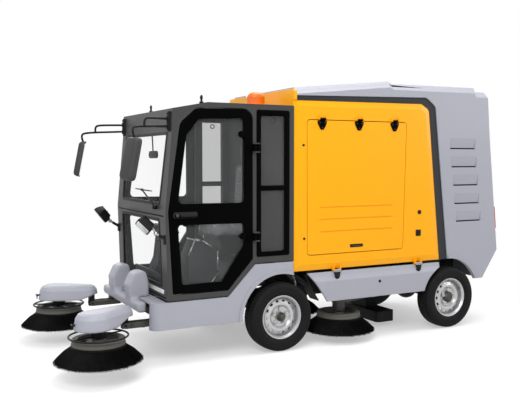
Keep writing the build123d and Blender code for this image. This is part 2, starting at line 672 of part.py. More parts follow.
# Skirts: bowed panels that hang below the yellow sides and swing up
skirt_top = 656
skirt_low = 392
skirt_bow = [(6, skirt_top), (12, 620), (28, 575), (26, skirt_low), (6, skirt_low), (6, 570), (-10, 612),
             (-14, skirt_top)]
skirt_section = [(body_half + out, z) for out, z in skirt_bow]
skirt_rear_radius = 336
with BuildPart() as skirt:
    with BuildSketch(Plane(origin=(0, 0, 0), x_dir=(0, -1, 0), z_dir=(-1, 0, 0))):
        outline(skirt_section)
    extrude(amount=-1800)
    with BuildSketch(side):
        with BuildLine():
            Polyline((264, skirt_top + 5), (1783, skirt_top + 5), (1783, 600), (1640, skirt_low - 5),
                     (472, skirt_low - 5))
            ThreePointArc((472, skirt_low - 5), (352, 558), (264, skirt_top + 5))
        make_face()
        with Locations((wheel_base, axle_z)):
            Circle(skirt_rear_radius, mode=Mode.SUBTRACT)
    extrude(amount=800, mode=Mode.INTERSECT)
    for x in skirt_hinge_x:
        block((x - small_half, x + small_half), (skirt_hinge[0] - 4, 4 - body_half), (skirt_top - 40, skirt_top - 8))
        block((x - small_half, x + small_half), (skirt_hinge[0] - 4, skirt_hinge[0] + 4),
              (skirt_top - 40, skirt_hinge[1]))
        rod((x, skirt_hinge[0], skirt_hinge[1]), (1, 0, 0), small_barrel, 2 * small_half)
        rod((x, skirt_hinge[0], skirt_hinge[1]), (1, 0, 0), small_pin + fit, 2 * small_half + 2, mode=Mode.SUBTRACT)
keep_pair(skirt, "skirt")

# Carrier: grey casting in front with two lobes, over the side brush arms
carrier_x = (-1240, -1165)
lobe_centre = 232
lobe_half = 76
with BuildPart() as brush_carrier:
    block(carrier_x, (-500, 500), (425, 512))
    fillet(brush_carrier.edges().filter_by(Axis.Y).sort_by(Axis.X)[:2], 25)
    for y in (-1, 1):
        with BuildSketch(side.offset(y * lobe_centre - lobe_half)):
            outline([(-1238, 500), (-1250, 620), (-1205, 715), (-1160, 736), (-1098, 728), (-1074, 640),
                     (-1074, panel_top), (carrier_x[1], panel_top), (carrier_x[1], 500)])
            fillet(vertices().sort_by(Axis.Y)[-4:], 22)
        extrude(amount=2 * lobe_half)
        block((carrier_x[1] - 5, rail_front), sorted((y * rail_in, y * rail_out)), (430, 490))
keep(brush_carrier, "brush_carrier")

# Side brush arm: two plates between the chassis lug and the lug of the brush head
head_pivot = (-1350, 345)
plate_gap = 6
arm_plates = ((lug_y[0] - plate_gap - 12, lug_y[0] - plate_gap), (lug_y[1] + plate_gap, lug_y[1] + plate_gap + 12))
pin_half = (arm_plates[1][1] - arm_plates[0][0]) / 2 + 4
lug_mid = (lug_y[0] + lug_y[1]) / 2
with BuildPart() as brush_arm:
    for low, high in arm_plates:
        with BuildSketch(side.offset(low)):
            with Locations(arm_pivot, head_pivot):
                Circle(23)
            make_hull()
            with Locations(arm_pivot, head_pivot):
                Circle(pin_radius + fit, mode=Mode.SUBTRACT)
        extrude(amount=high - low)
    block((-1240, -1190), (-arm_plates[1][1], -arm_plates[0][0]), (333, 357))
keep_pair(brush_arm, "brush_arm")

# Brush head: lug, bracket, motor, hoop; the moulded hood sits on its bracket
motor_radius = 58
front_plate_top = front_plate_z + plate_thick
motor_low = front_plate_top + 30
bracket_z = (446, 466)
hoop_radius = 222
with BuildPart() as brush_head:
    with BuildSketch(Plane.XY.offset(bracket_z[0])):
        with Locations((front_brush_x, -front_brush_y)):
            Circle(motor_radius + 6)
        with Locations((head_pivot[0], -lug_mid)):
            Circle(27)
        make_hull()
    extrude(amount=bracket_z[1] - bracket_z[0])
    block((head_pivot[0] - 24, head_pivot[0] + 24), (-lug_y[1], -lug_y[0]), (head_pivot[1] - 24, bracket_z[1]))
    rod((head_pivot[0], -lug_mid, head_pivot[1]), (0, 1, 0), pin_radius, 2 * pin_half)
    rod((front_brush_x, -front_brush_y, (motor_low + bracket_z[0]) / 2), (0, 0, 1), motor_radius,
        bracket_z[0] - motor_low)
    rod((front_brush_x, -front_brush_y, (motor_low + front_plate_z) / 2 - 6), (0, 0, 1), 14,
        motor_low - front_plate_z + 12)
    # Hoop above the plate, on two stays
    with BuildSketch(Plane(origin=(front_brush_x, -front_brush_y, 330), x_dir=(1, 0, 0), z_dir=(0, -1, 0))):
        with Locations((hoop_radius, 0)):
            Circle(7)
    revolve(axis=Axis((front_brush_x, -front_brush_y, 0), (0, 0, 1)))
    rod((front_brush_x, -front_brush_y, 330), (1, 0.35, 0), 6, 2 * hoop_radius)
keep_pair(brush_head, "brush_head")

hood_top = 512
hood_skin = 6
# Sections of the hood: height, and how far its outline leans in from the rim
hood_levels = ((385, 0), (470, 14), (500, 34), (hood_top, 62))
hood_front = (-1640, -672, 150)    # x, y, radius of the rounded front end
hood_back = (-1374, -527, 92)
hood_rise = [(-1480, 380), (-1340, 432), (-1200, 432), (-1200, 380)]    # rim raised over the arm
# The outer form, and the hollow one skin inside it
hood_forms = []
for less in (0, hood_skin):
    with BuildPart() as form:
        for z, lean in hood_levels:
            with BuildSketch(Plane.XY.offset(z - (less if lean else 0))):
                for x, y, radius in (hood_front, hood_back):
                    with Locations((x, y)):
                        Circle(radius - less - lean)
                make_hull()
        loft(ruled=True)
    hood_forms.append(form.part)
with BuildPart() as hood:
    add(hood_forms[0])
    add(hood_forms[1], mode=Mode.SUBTRACT)
    with BuildSketch(side):
        outline(hood_rise)
    extrude(amount=body_half + 200, mode=Mode.SUBTRACT)
    # Posts that rest on the bracket
    for x, y in ((front_brush_x, -front_brush_y), (-1420, -560)):
        rod((x, y, (bracket_z[1] + hood_top) / 2 - 2), (0, 0, 1), 12, hood_top - bracket_z[1] - 4)
keep_pair(hood, "hood")

# Disc brush: hub, ring plate with windows, and the cone of bristles
hub_radius = 46
tuft_count = 32
tuft_gap = 7
with BuildPart() as brush:
    with BuildSketch(Plane.XZ):
        outline([(plate_radius - 60, -2), (plate_radius, -2), (plate_radius, plate_thick / 2),
                 (bristle_radius, -bristle_drop), (bristle_radius - 96, -bristle_drop)])
    revolve(axis=Axis.Z)
    with BuildSketch():
        Circle(plate_radius)
        with PolarLocations(112, 6):
            SlotOverall(62, 30, rotation=90)
    extrude(amount=plate_thick)
    # Gaps between the tufts at the rim
    with BuildSketch(Plane.XY.offset(-bristle_drop - 1)):
        with PolarLocations(bristle_radius - 20, tuft_count):
            Rectangle(64, tuft_gap)
    extrude(amount=60, mode=Mode.SUBTRACT)
    rod((0, 0, plate_thick / 2 + 10), (0, 0, 1), hub_radius, plate_thick + 20)
    rod((0, 0, 10), (0, 0, 1), 14 + fit, 140, mode=Mode.SUBTRACT)
keep_pair(brush, "front_brush", (front_brush_x, -front_brush_y, front_plate_z))
keep_pair(brush, "mid_brush", (mid_brush_x, -mid_brush_y, mid_plate_z))

mid_motor_low = mid_plate_z + plate_thick + 28
mid_arm_z = (330, 370)
mid_eye_y = (rail_out + clear, rail_out + clear + 56)
with BuildPart() as mid_arm:
    with BuildSketch(Plane.XY.offset(mid_arm_z[0])):
        with Locations((mid_brush_x, -mid_brush_y)):
            Circle(motor_radius + 6)
        with Locations((mid_pivot[0] - 40, -sum(mid_eye_y) / 2)):
            Circle(28)
        make_hull()
    extrude(amount=mid_arm_z[1] - mid_arm_z[0])
    rod((mid_pivot[0], -sum(mid_eye_y) / 2, mid_pivot[1]), (0, 1, 0), 30, mid_eye_y[1] - mid_eye_y[0])
    rod((mid_brush_x, -mid_brush_y, (mid_motor_low + mid_arm_z[0]) / 2), (0, 0, 1), motor_radius,
        mid_arm_z[0] - mid_motor_low)
    rod((mid_brush_x, -mid_brush_y, (mid_motor_low + mid_plate_z) / 2 - 6), (0, 0, 1), 14,
        mid_motor_low - mid_plate_z + 12)
    rod((mid_pivot[0], -sum(mid_eye_y) / 2, mid_pivot[1]), (0, 1, 0), pin_radius + fit, 80, mode=Mode.SUBTRACT)
keep_pair(mid_arm, "mid_arm")

# Suction mouth across the middle, and its duct up to the hopper wall
def bulkhead(z):
    """Front face of the hopper wall at a height."""
    return 1899 - (1899 - 1725) * (z - body_low) / (2172 - body_low)


with BuildPart() as suction_mouth:
    block((1280, 1500), (-330, 330), (45, 150))
    fillet(suction_mouth.edges().filter_by(Axis.Z), 40)
    with BuildSketch(side):
        outline([(1300, 140), (1450, 140), (1450, 430), (bulkhead(900), 900), (bulkhead(1080), 1080), (1300, 540)])
    extrude(amount=110, both=True)
keep(suction_mouth, "suction_mouth")

# Beacon, mirrors, lamps
with BuildPart() as beacon:
    rod((-45, -260, roof_z + 14), (0, 0, 1), 92, 28)
    rod((-45, -260, roof_z + 80), (0, 0, 1), 82, 110)
    fillet(beacon.faces().sort_by(Axis.Z)[-1].edges(), 45)
keep(beacon, "beacon")

mirror_centre = (-1376, -774, 1668)
mirror_route = [(-986.3, -577, 2020), (-1040, -577, 2020), (-1265, -688, 1985), (-1376, -752, 1860),
                (-1376, -760, 1700)]
with BuildPart() as mirror_one:
    tube(mirror_route, 10)
    with Locations(mirror_centre):
        Box(56, 165, 345)
    fillet(mirror_one.faces().filter_by(Axis.X).sort_by(Axis.X)[0].edges(), 24)
with BuildPart() as mirrors:
    add(mirror_one.part)
    add(mirror(mirror_one.part, about=Plane.XZ, mode=Mode.PRIVATE))
keep(mirrors, "mirrors")

with BuildPart() as headlamps:
    for y in (-558, 558):
        block((-1240, -1150), (y - 62, y + 62), (1095, 1200))
        with BuildSketch(side.offset(-y - 8)):
            outline([(-1152, 1120), (screen_x(1120), 1120), (screen_x(1175), 1175), (-1152, 1175)])
        extrude(amount=16)
keep(headlamps, "headlamps")
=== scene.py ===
"""Looks of a compact road sweeper with a cab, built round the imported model.

Metres. X runs to the rear, Y to the machine's right, Z up from the floor. Shapes are drawn with X
measured from the front axle, and each finished mesh is moved once, to where the frame has that axle.
"""

import math
import random

import bmesh
import bpy
from mathutils import Matrix, Vector, noise


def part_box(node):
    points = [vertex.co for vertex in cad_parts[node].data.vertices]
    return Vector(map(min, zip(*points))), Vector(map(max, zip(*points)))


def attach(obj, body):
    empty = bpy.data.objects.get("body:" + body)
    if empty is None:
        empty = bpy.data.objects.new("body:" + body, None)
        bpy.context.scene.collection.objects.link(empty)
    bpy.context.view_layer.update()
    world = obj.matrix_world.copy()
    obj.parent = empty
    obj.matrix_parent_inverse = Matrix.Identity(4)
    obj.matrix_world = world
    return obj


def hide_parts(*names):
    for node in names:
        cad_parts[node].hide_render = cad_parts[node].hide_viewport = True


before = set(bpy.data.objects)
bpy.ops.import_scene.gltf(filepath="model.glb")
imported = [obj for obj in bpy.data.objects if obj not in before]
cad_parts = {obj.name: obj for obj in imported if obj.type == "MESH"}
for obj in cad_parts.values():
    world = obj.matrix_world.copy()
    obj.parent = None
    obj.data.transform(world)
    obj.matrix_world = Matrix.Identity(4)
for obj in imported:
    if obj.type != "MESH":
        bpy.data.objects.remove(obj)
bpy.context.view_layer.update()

low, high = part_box("tyre_front_left")
AXLE_X = (low[0] + high[0]) / 2
WHEEL_Y = -(low[1] + high[1]) / 2
AXLE_Z = (low[2] + high[2]) / 2
REAR_X = sum(corner[0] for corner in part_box("tyre_rear_left")) / 2 - AXLE_X
BODY_HALF = 0.644
SIDES = (("left", -1), ("right", 1))

# Faces of a box whose corners run through x, then y, then z, the low one first
BOX_FACES = ((0, 1, 3, 2), (4, 6, 7, 5), (0, 4, 5, 1), (2, 3, 7, 6), (0, 2, 6, 4), (1, 5, 7, 3))

BALL_RINGS = 8

# Where an outline's two coordinates lie, with a distance along an axis
ALONG = {"X": lambda a, b, d: (d, a, b), "Y": lambda a, b, d: (a, d, b), "Z": lambda a, b, d: (a, b, d)}


class Shape:
    """Mesh put together from simple forms, with X measured from the front axle."""

    def __init__(self):
        self.mesh = bmesh.new()

    def faces(self, points, loops):
        """Faces given as loops of numbers in a list of points."""
        made = [self.mesh.verts.new(point) for point in points]
        for loop in loops:
            self.mesh.faces.new([made[i] for i in loop])

    def box(self, x, y, z):
        """Box between (low, high) limits along each axis."""
        self.faces([(a, b, c) for a in x for b in y for c in z], BOX_FACES)

    def rod(self, start, end, radius, sides=20, end_radius=None):
        """Round bar or cone from one point to another."""
        start, end = Vector(start), Vector(end)
        turn = (end - start).to_track_quat("Z", "Y")
        if end_radius is None:
            end_radius = radius
        self.stack([circle(start, turn, radius, sides), circle(end, turn, end_radius, sides)])

    def prism(self, outline, axis, span):
        """Closed outline pushed along an axis: outline is (x, z) for Y, (x, y) for Z, (y, z) for X."""
        place = ALONG[axis]
        self.stack([[place(a, b, d) for a, b in outline] for d in span])

    def frame_strip(self, outer, inner, axis, span):
        """Flat frame between two outlines with the same number of points, along an axis or by a function."""
        place = axis if callable(axis) else ALONG[axis]
        count = len(outer)
        points = [place(a, b, d) for line in (outer, inner) for d in span for a, b in line]
        loops = []
        for i in range(count):
            j = (i + 1) % count
            loops.append((i, j, count + j, count + i))
            loops.append((2 * count + j, 2 * count + i, 3 * count + i, 3 * count + j))
            loops.append((j, i, 2 * count + i, 2 * count + j))
            loops.append((count + i, count + j, 3 * count + j, 3 * count + i))
        self.faces(points, loops)

    def lathe(self, profile, centre, axis=(0, 0, 1), sides=64, closed=True):
        """Profile of (radius, height) turned about an axis through a point."""
        turn = Vector(axis).to_track_quat("Z", "Y")
        centre = Vector(centre)
        count = len(profile)
        points = [centre + turn @ Vector((r * math.cos(a), r * math.sin(a), h))
                  for a in turns(sides) for r, h in profile]
        loops = []
        for i in range(sides):
            j = (i + 1) % sides
            for k in range(count if closed else count - 1):
                m = (k + 1) % count
                loops.append((i * count + k, j * count + k, j * count + m, i * count + m))
        self.faces(points, loops)

    def tube(self, path, radius, sides=12):
        """Round bar along a smooth path."""
        points = [Vector(point) for point in path]
        rings = []
        for i, point in enumerate(points):
            ahead = points[min(i + 1, len(points) - 1)] - points[max(i - 1, 0)]
            turn = ahead.to_track_quat("Z", "Y")
            rings.append(circle(point, turn, radius, sides))
        self.stack(rings)

    def stack(self, rings):
        """Closed form through rings of points, with a cap on each end."""
        count = len(rings[0])
        points = [point for ring in rings for point in ring]
        loops = []
        for low in range(0, (len(rings) - 1) * count, count):
            for i in range(count):
                j = (i + 1) % count
                loops.append((low + i, low + j, low + count + j, low + count + i))
        last = (len(rings) - 1) * count
        loops += [tuple(reversed(range(count))), tuple(range(last, last + count))]
        self.faces(points, loops)

    def ball(self, centre, radius, sides=16):
        """Round ball."""
        centre = Vector(centre)
        rings = []
        for i in range(BALL_RINGS):
            rise = math.pi * (i + 0.5) / BALL_RINGS - math.pi / 2
            level = centre + Vector((0, 0, radius * math.sin(rise)))
            rings.append(circle(level, Matrix.Identity(3), radius * math.cos(rise), sides))
        self.stack(rings)


def turns(count, start=0.0):
    """Angles spread evenly round a circle."""
    return [start + 2 * math.pi * i / count for i in range(count)]


def circle(centre, turn, radius, sides):
    """Points round a centre, in a plane given by a rotation."""
    return [centre + turn @ Vector((radius * math.cos(a), radius * math.sin(a), 0)) for a in turns(sides)]


def oblong(a_low, b_low, a_high, b_high):
    """Corners of a rectangle."""
    return [(a_low, b_low), (a_high, b_low), (a_high, b_high), (a_low, b_high)]


def side_span(way, low, high):
    """Limits along Y of what lies between two distances from the middle, on one side."""
    return sorted((way * low, way * high))


def smooth_path(points, steps=8):
    """Catmull-Rom path through points."""
    points = [Vector(point) for point in points]
    path = []
    for i in range(len(points) - 1):
        before, start = points[max(i - 1, 0)], points[i]
        end, after = points[i + 1], points[min(i + 2, len(points) - 1)]
        for k in range(steps):
            t = k / steps
            square = 2 * before - 5 * start + 4 * end - after
            cube = 3 * start - before - 3 * end + after
            path.append(0.5 * (2 * start + (end - before) * t + square * t * t + cube * t ** 3))
    path.append(points[-1])
    return path


def rounded(outline, radius, steps=5):
    """Outline with its corners turned into arcs."""
    count = len(outline)
    path = []
    for i in range(count):
        corner = Vector(outline[i])
        to_before = Vector(outline[i - 1]) - corner
        to_after = Vector(outline[(i + 1) % count]) - corner
        half = to_before.angle(to_after) / 2
        reach = min(radius / math.tan(half), 0.45 * to_before.length, 0.45 * to_after.length)
        if reach < 1e-6:
            path += [tuple(corner)] * (steps + 1)
            continue
        start = corner + to_before.normalized() * reach
        end = corner + to_after.normalized() * reach
        for k in range(steps + 1):
            t = k / steps
            path.append(tuple((1 - t) ** 2 * start + 2 * t * (1 - t) * corner + t * t * end))
    return path


def grown(outline, amount):
    """Outline moved outwards by an amount; a negative one moves it inwards."""
    count = len(outline)
    area = sum(outline[i - 1][0] * outline[i][1] - outline[i][0] * outline[i - 1][1] for i in range(count))
    way = 1 if area > 0 else -1
    made = []
    for i in range(count):
        here = Vector(outline[i])
        before = (here - Vector(outline[i - 1])).normalized()
        after = (Vector(outline[(i + 1) % count]) - here).normalized()
        side = (Vector((before.y, -before.x)) + Vector((after.y, -after.x))) * way
        side.normalize()
        spread = max(side.dot(Vector((before.y, -before.x)) * way), 0.3)
        made.append(tuple(here + side * amount / spread))
    return made


def make(shape, name, body, slot, material, bevel=0.0, smooth=35, replaces=()):
    """Turn a shape into a piece of the object that rides on a body."""
    bmesh.ops.recalc_face_normals(shape.mesh, faces=shape.mesh.faces)
    data = bpy.data.meshes.new(name)
    shape.mesh.to_mesh(data)
    shape.mesh.free()
    data.transform(Matrix.Translation((AXLE_X, 0, 0)))
    piece = bpy.data.objects.new(name, data)
    bpy.context.collection.objects.link(piece)
    data.materials.append(material)
    if bevel:
        edge = piece.modifiers.new("edge", "BEVEL")
        edge.width = bevel
        edge.segments = 2
        edge.limit_method = "ANGLE"
        edge.angle_limit = math.radians(40)
    if smooth:
        data.shade_smooth()
        bpy.context.view_layer.objects.active = piece
        piece.select_set(True)
        bpy.ops.object.shade_auto_smooth(angle=math.radians(smooth))
        piece.select_set(False)
    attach(piece, body)
    if replaces:
        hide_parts(*replaces)
    return piece


# Materials


def set_inputs(node, **values):
    """Set inputs of a shader node, named with _ in place of each space."""
    for name, value in values.items():
        node.inputs[name.replace("_", " ")].default_value = value


def add_node(tree, kind, **values):
    """New shader node with some inputs set."""
    made = tree.nodes.new(f"ShaderNode{kind}")
    set_inputs(made, **values)
    return made


def join(tree, start, output, end, entry):
    """Wire an output of one shader node to an input of another."""
    tree.links.new(start.outputs[output], end.inputs[entry])


def surface(name, colour, roughness, metallic=0.0, coat=0.0, mottle=(3.0, 0.04), grain=(400.0, 0.02),
            rough_spread=0.06, edge=0.0, gloss=0.25):
    """Procedural material: colour that varies softly, uneven roughness, fine bump and softened edges."""
    made = bpy.data.materials.new(name)
    made.use_nodes = True
    tree = made.node_tree
    shader = tree.nodes["Principled BSDF"]
    set_inputs(shader, Metallic=metallic, Coat_Weight=coat, Coat_Roughness=0.08, Specular_IOR_Level=gloss)
    place = add_node(tree, "TexCoord")
    cloud = add_node(tree, "TexNoise", Scale=mottle[0], Detail=6)
    join(tree, place, "Object", cloud, "Vector")
    tint = add_node(tree, "Mix")
    tint.data_type = "RGBA"
    dark = [max(c * (1 - mottle[1]), 0) for c in colour]
    light = [min(c * (1 + mottle[1]), 1) for c in colour]
    set_inputs(tint, A=(*dark, 1), B=(*light, 1))
    join(tree, cloud, "Fac", tint, "Factor")
    join(tree, tint, "Result", shader, "Base Color")
    spread = add_node(tree, "MapRange", From_Min=0.3, From_Max=0.7,
                      To_Min=max(roughness - rough_spread, 0.02), To_Max=min(roughness + rough_spread, 1))
    join(tree, cloud, "Fac", spread, "Value")
    join(tree, spread, "Result", shader, "Roughness")
    fine = add_node(tree, "TexNoise", Scale=grain[0], Detail=3)
    join(tree, place, "Object", fine, "Vector")
    bump = add_node(tree, "Bump", Strength=grain[1], Distance=0.001)
    join(tree, fine, "Fac", bump, "Height")
    if edge:
        soften = add_node(tree, "Bevel", Radius=edge)
        soften.samples = 4
        join(tree, soften, "Normal", bump, "Normal")
    join(tree, bump, "Normal", shader, "Normal")
    return made


def glazing(name, colour, alpha, roughness=0.02):
    """Thin clear glass: a tinted film with gloss, faintly uneven."""
    made = surface(name, colour, roughness, mottle=(1.5, 0.03), grain=(6.0, 0.01),
                   rough_spread=0.01, gloss=0.35)
    set_inputs(made.node_tree.nodes["Principled BSDF"], Alpha=alpha)
    return made


YELLOW = surface("amber_yellow_paint", (1.0, 0.42, 0.0), 0.34, coat=0.06,
                 mottle=(1.2, 0.03), grain=(900, 0.03), edge=0.006)
PAINT_GREY = (0.375, 0.382, 0.435)
GREY = surface("light_grey_paint", PAINT_GREY, 0.4, coat=0.05,
               mottle=(1.5, 0.035), grain=(900, 0.03), edge=0.006)
CHARCOAL = surface("charcoal_trim", (0.032, 0.034, 0.038), 0.55,
                   mottle=(4, 0.1), grain=(1500, 0.15), edge=0.004, gloss=0.15)
CAB_GREY = surface("dark_grey_paint", (0.052, 0.052, 0.052), 0.4,
                   mottle=(2, 0.05), grain=(900, 0.03), edge=0.004, gloss=0.2)
DOOR_BLACK = surface("door_black", (0.0012, 0.0012, 0.0014), 0.45,
                     mottle=(3, 0.1), grain=(1200, 0.05), edge=0.004, gloss=0.02)
CHASSIS = surface("chassis_black", (0.009, 0.009, 0.0095), 0.5,
                  mottle=(6, 0.2), grain=(500, 0.12), edge=0.003, gloss=0.15)
RUBBER = surface("tyre_rubber", (0.0085, 0.0085, 0.009), 0.7,
                 mottle=(9, 0.25), grain=(1300, 0.25), rough_spread=0.1, gloss=0.12)
SILVER = surface("wheel_silver", (0.5, 0.5, 0.51), 0.36, metallic=0.7,
                 mottle=(14, 0.08), grain=(900, 0.06), edge=0.002)
STEEL = surface("bare_steel", (0.5, 0.5, 0.5), 0.28, metallic=1.0, mottle=(30, 0.12), grain=(700, 0.08))
DARK_STEEL = surface("dark_steel", (0.07, 0.068, 0.06), 0.45, metallic=0.6,
                     mottle=(30, 0.25), grain=(500, 0.15), edge=0.002)
BRISTLE = surface("nylon_bristle", (0.0045, 0.0045, 0.005), 0.55,
                  mottle=(60, 0.3), grain=(900, 0.1), gloss=0.06)
PLATE = surface("brush_plate", (0.1, 0.097, 0.085), 0.6, mottle=(12, 0.12), grain=(700, 0.12), edge=0.002)
PLASTIC = surface("grained_black_plastic", (0.012, 0.012, 0.013), 0.55,
                  mottle=(5, 0.1), grain=(1600, 0.35), edge=0.004, gloss=0.2)
MIRROR_SHELL = surface("mirror_housing", (0.045, 0.045, 0.046), 0.5,
                       mottle=(5, 0.08), grain=(1600, 0.25), edge=0.004, gloss=0.2)
INNER_GREY = surface("inner_grey_panel", (0.035, 0.035, 0.037), 0.5,
                     mottle=(5, 0.1), grain=(1200, 0.2), edge=0.004)
SEAT = surface("seat_vinyl", (0.05, 0.05, 0.052), 0.48, mottle=(40, 0.15), grain=(1800, 0.5))
GLASS = glazing("clear_glass", (0.7, 0.73, 0.74), 0.035)
DARK_GLASS = glazing("tinted_glass", (0.12, 0.12, 0.124), 0.3)
FILM = glazing("clear_film", (0.8, 0.81, 0.83), 0.24, 0.16)
GREY_SOFT = surface("light_grey_moulding", PAINT_GREY, 0.4, coat=0.05,
                    mottle=(1.5, 0.035), grain=(900, 0.03), edge=0.02)
MIRROR = surface("mirror_glass", (0.8, 0.8, 0.82), 0.03, metallic=1.0,
                 mottle=(2, 0.01), grain=(5, 0.0), rough_spread=0.01)
AMBER = surface("amber_lens", (1.0, 0.17, 0.005), 0.15, coat=0.4, mottle=(20, 0.15), grain=(200, 0.3))
RED = surface("red_lens", (0.55, 0.01, 0.012), 0.15, coat=0.5, mottle=(20, 0.15), grain=(200, 0.3))
LENS = surface("lamp_lens", (0.72, 0.73, 0.75), 0.16, metallic=0.4, coat=0.5,
               mottle=(60, 0.2), grain=(150, 0.6))
WHITE = surface("plain_white_strip", (0.75, 0.75, 0.75), 0.4, mottle=(6, 0.03), grain=(800, 0.05))
# Near-black: dark joint lines on the cab's front, and painted shade in the louvres' slots
LINE = surface("joint_line_and_painted_shade", (0.004, 0.004, 0.004), 0.7, mottle=(6, 0.1), grain=(500, 0.1), gloss=0.05)

# Material of each node, for both sides where there are two
NODE_LOOKS = (
    (YELLOW, ("body_front", "body_side", "access_door")),
    (GREY, ("front_panel", "hopper_shell", "tail_door", "skirt")),
    (GREY_SOFT, ("brush_carrier", "hood")),
    (CHARCOAL, ("trim_arches",)),
    (CAB_GREY, ("cab_frame",)),
    (DOOR_BLACK, ("access_hinges", "cab_door")),
    (CHASSIS, ("chassis", "outriggers", "front_axle", "rear_axle", "knuckle")),
    (CHASSIS, ("battery_pack", "suction_mouth", "brush_head")),
    (PLASTIC, ("cab_floor", "steering_wheel", "seat_base", "mirrors", "headlamps", "mudguards")),
    (INNER_GREY, ("dashboard",)),
    (GLASS, ("windshield", "door_glass")),
    (DARK_GLASS, ("cab_windows",)),
    (SEAT, ("seat_cushion", "seat_back")),
    (AMBER, ("beacon",)),
    (RED, ("tail_lamps",)),
    (DARK_STEEL, ("brush_arm", "mid_arm")),
    (BRISTLE, ("front_brush", "mid_brush")),
    (RUBBER, ("tyre_front", "tyre_rear")),
    (SILVER, ("rim_front", "rim_rear")),
)
NODE_MATERIALS = {name: material for material, names in NODE_LOOKS for name in names}
for node_name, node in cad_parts.items():
    plain = node_name.removesuffix("_left").removesuffix("_right")
    if not node.material_slots:
        node.data.materials.append(NODE_MATERIALS[plain])
    for slot in node.material_slots:
        slot.material = NODE_MATERIALS[plain]


# Wheels

TREAD_PITCHES = 66
TYRE_STEPS = 330
TREAD_HALF = 0.066
TREAD_COLUMNS = 44
CROWN_RADIUS = 0.2998
CROWN_DROP = 0.0042
GROOVES = (-0.036, 0.0, 0.036)
GROOVE_DEPTH = 0.008
SHOULDER_CUT = 0.007
SIPE_DEPTH = 0.004
SHOULDER_RADIUS = 0.28
# Sidewall from the bead to the tread's edge: across from the wheel's middle, and radius
SIDEWALL = (
    (0.0555, 0.1785), (0.0655, 0.1925), (0.0735, 0.1965), (0.0795, 0.205), (0.0835, 0.214), (0.0855, 0.2155),
    (0.087, 0.226), (0.0878, 0.238), (0.0872, 0.25), (0.0858, 0.259), (0.0868, 0.2605), (0.0862, 0.2645),
    (0.0842, 0.266), (0.082, 0.276), (0.0785, 0.285), (0.073, 0.2925),
)


def lug_phase(angle, across):
    """Place within one pitch of the shoulder cuts, which lean and alternate from side to side."""
    return (angle * TREAD_PITCHES / math.tau + abs(across) * 4 + (0.5 if across > 0 else 0)) % 1.0


def tread_depth(angle, across):
    """How far the tread lies below the crown: zigzag grooves round it and cut shoulders."""
    pitch = (angle * TREAD_PITCHES / math.tau) % 1.0
    zigzag = 0.003 * (abs(2 * pitch - 1) * 2 - 1)
    for groove in GROOVES:
        if abs(across - groove - zigzag) < 0.0042:
            return GROOVE_DEPTH
    phase = lug_phase(angle, across)
    if abs(across) > 0.041 and phase < 0.2:
        return SHOULDER_CUT
    if abs(across) < 0.034 and (phase + 0.3) % 1.0 < 0.09:
        return SIPE_DEPTH
    return 0.0


def build_tyre(end, side, way):
    """Tyre with a cut tread, in place of the plain one."""
    crown = [(TREAD_HALF - 2 * TREAD_HALF * i / TREAD_COLUMNS) for i in range(TREAD_COLUMNS + 1)]
    section = [(y, r, False) for y, r in SIDEWALL]
    section += [(y, CROWN_RADIUS - CROWN_DROP * (y / TREAD_HALF) ** 2, True) for y in crown]
    section += [(-y, r, False) for y, r in reversed(SIDEWALL)]
    centre_x = 0 if end == "front" else REAR_X
    points, loops = [], []
    width = len(section)
    for angle in turns(TYRE_STEPS):
        for across, radius, tread in section:
            r = radius - (tread_depth(angle, across) if tread else 0)
            if not tread and radius > SHOULDER_RADIUS and lug_phase(angle, across) < 0.2:
                r -= SHOULDER_CUT / 2
            y = way * WHEEL_Y + across
            points.append((centre_x + r * math.cos(angle), y, AXLE_Z + r * math.sin(angle)))
    for i in range(TYRE_STEPS):
        j = (i + 1) % TYRE_STEPS
        for k in range(width):
            m = (k + 1) % width
            loops.append((i * width + k, j * width + k, j * width + m, i * width + m))
    shape = Shape()
    shape.faces(points, loops)
    make(shape, f"tread_tyre_{end}_{side}", f"wheel_{end}_{side}", "tyre_rubber", RUBBER, smooth=28,
         replaces=(f"tyre_{end}_{side}",))


HUB_FACE = 0.043                      # from the wheel's middle to the face the nuts sit on
HUB_SIZES = {"front": (0.058, 0.04), "rear": (0.03, 0.052)}      # reach and radius of the cap
NUT_CIRCLE = 0.066
NUT_COUNT = 5


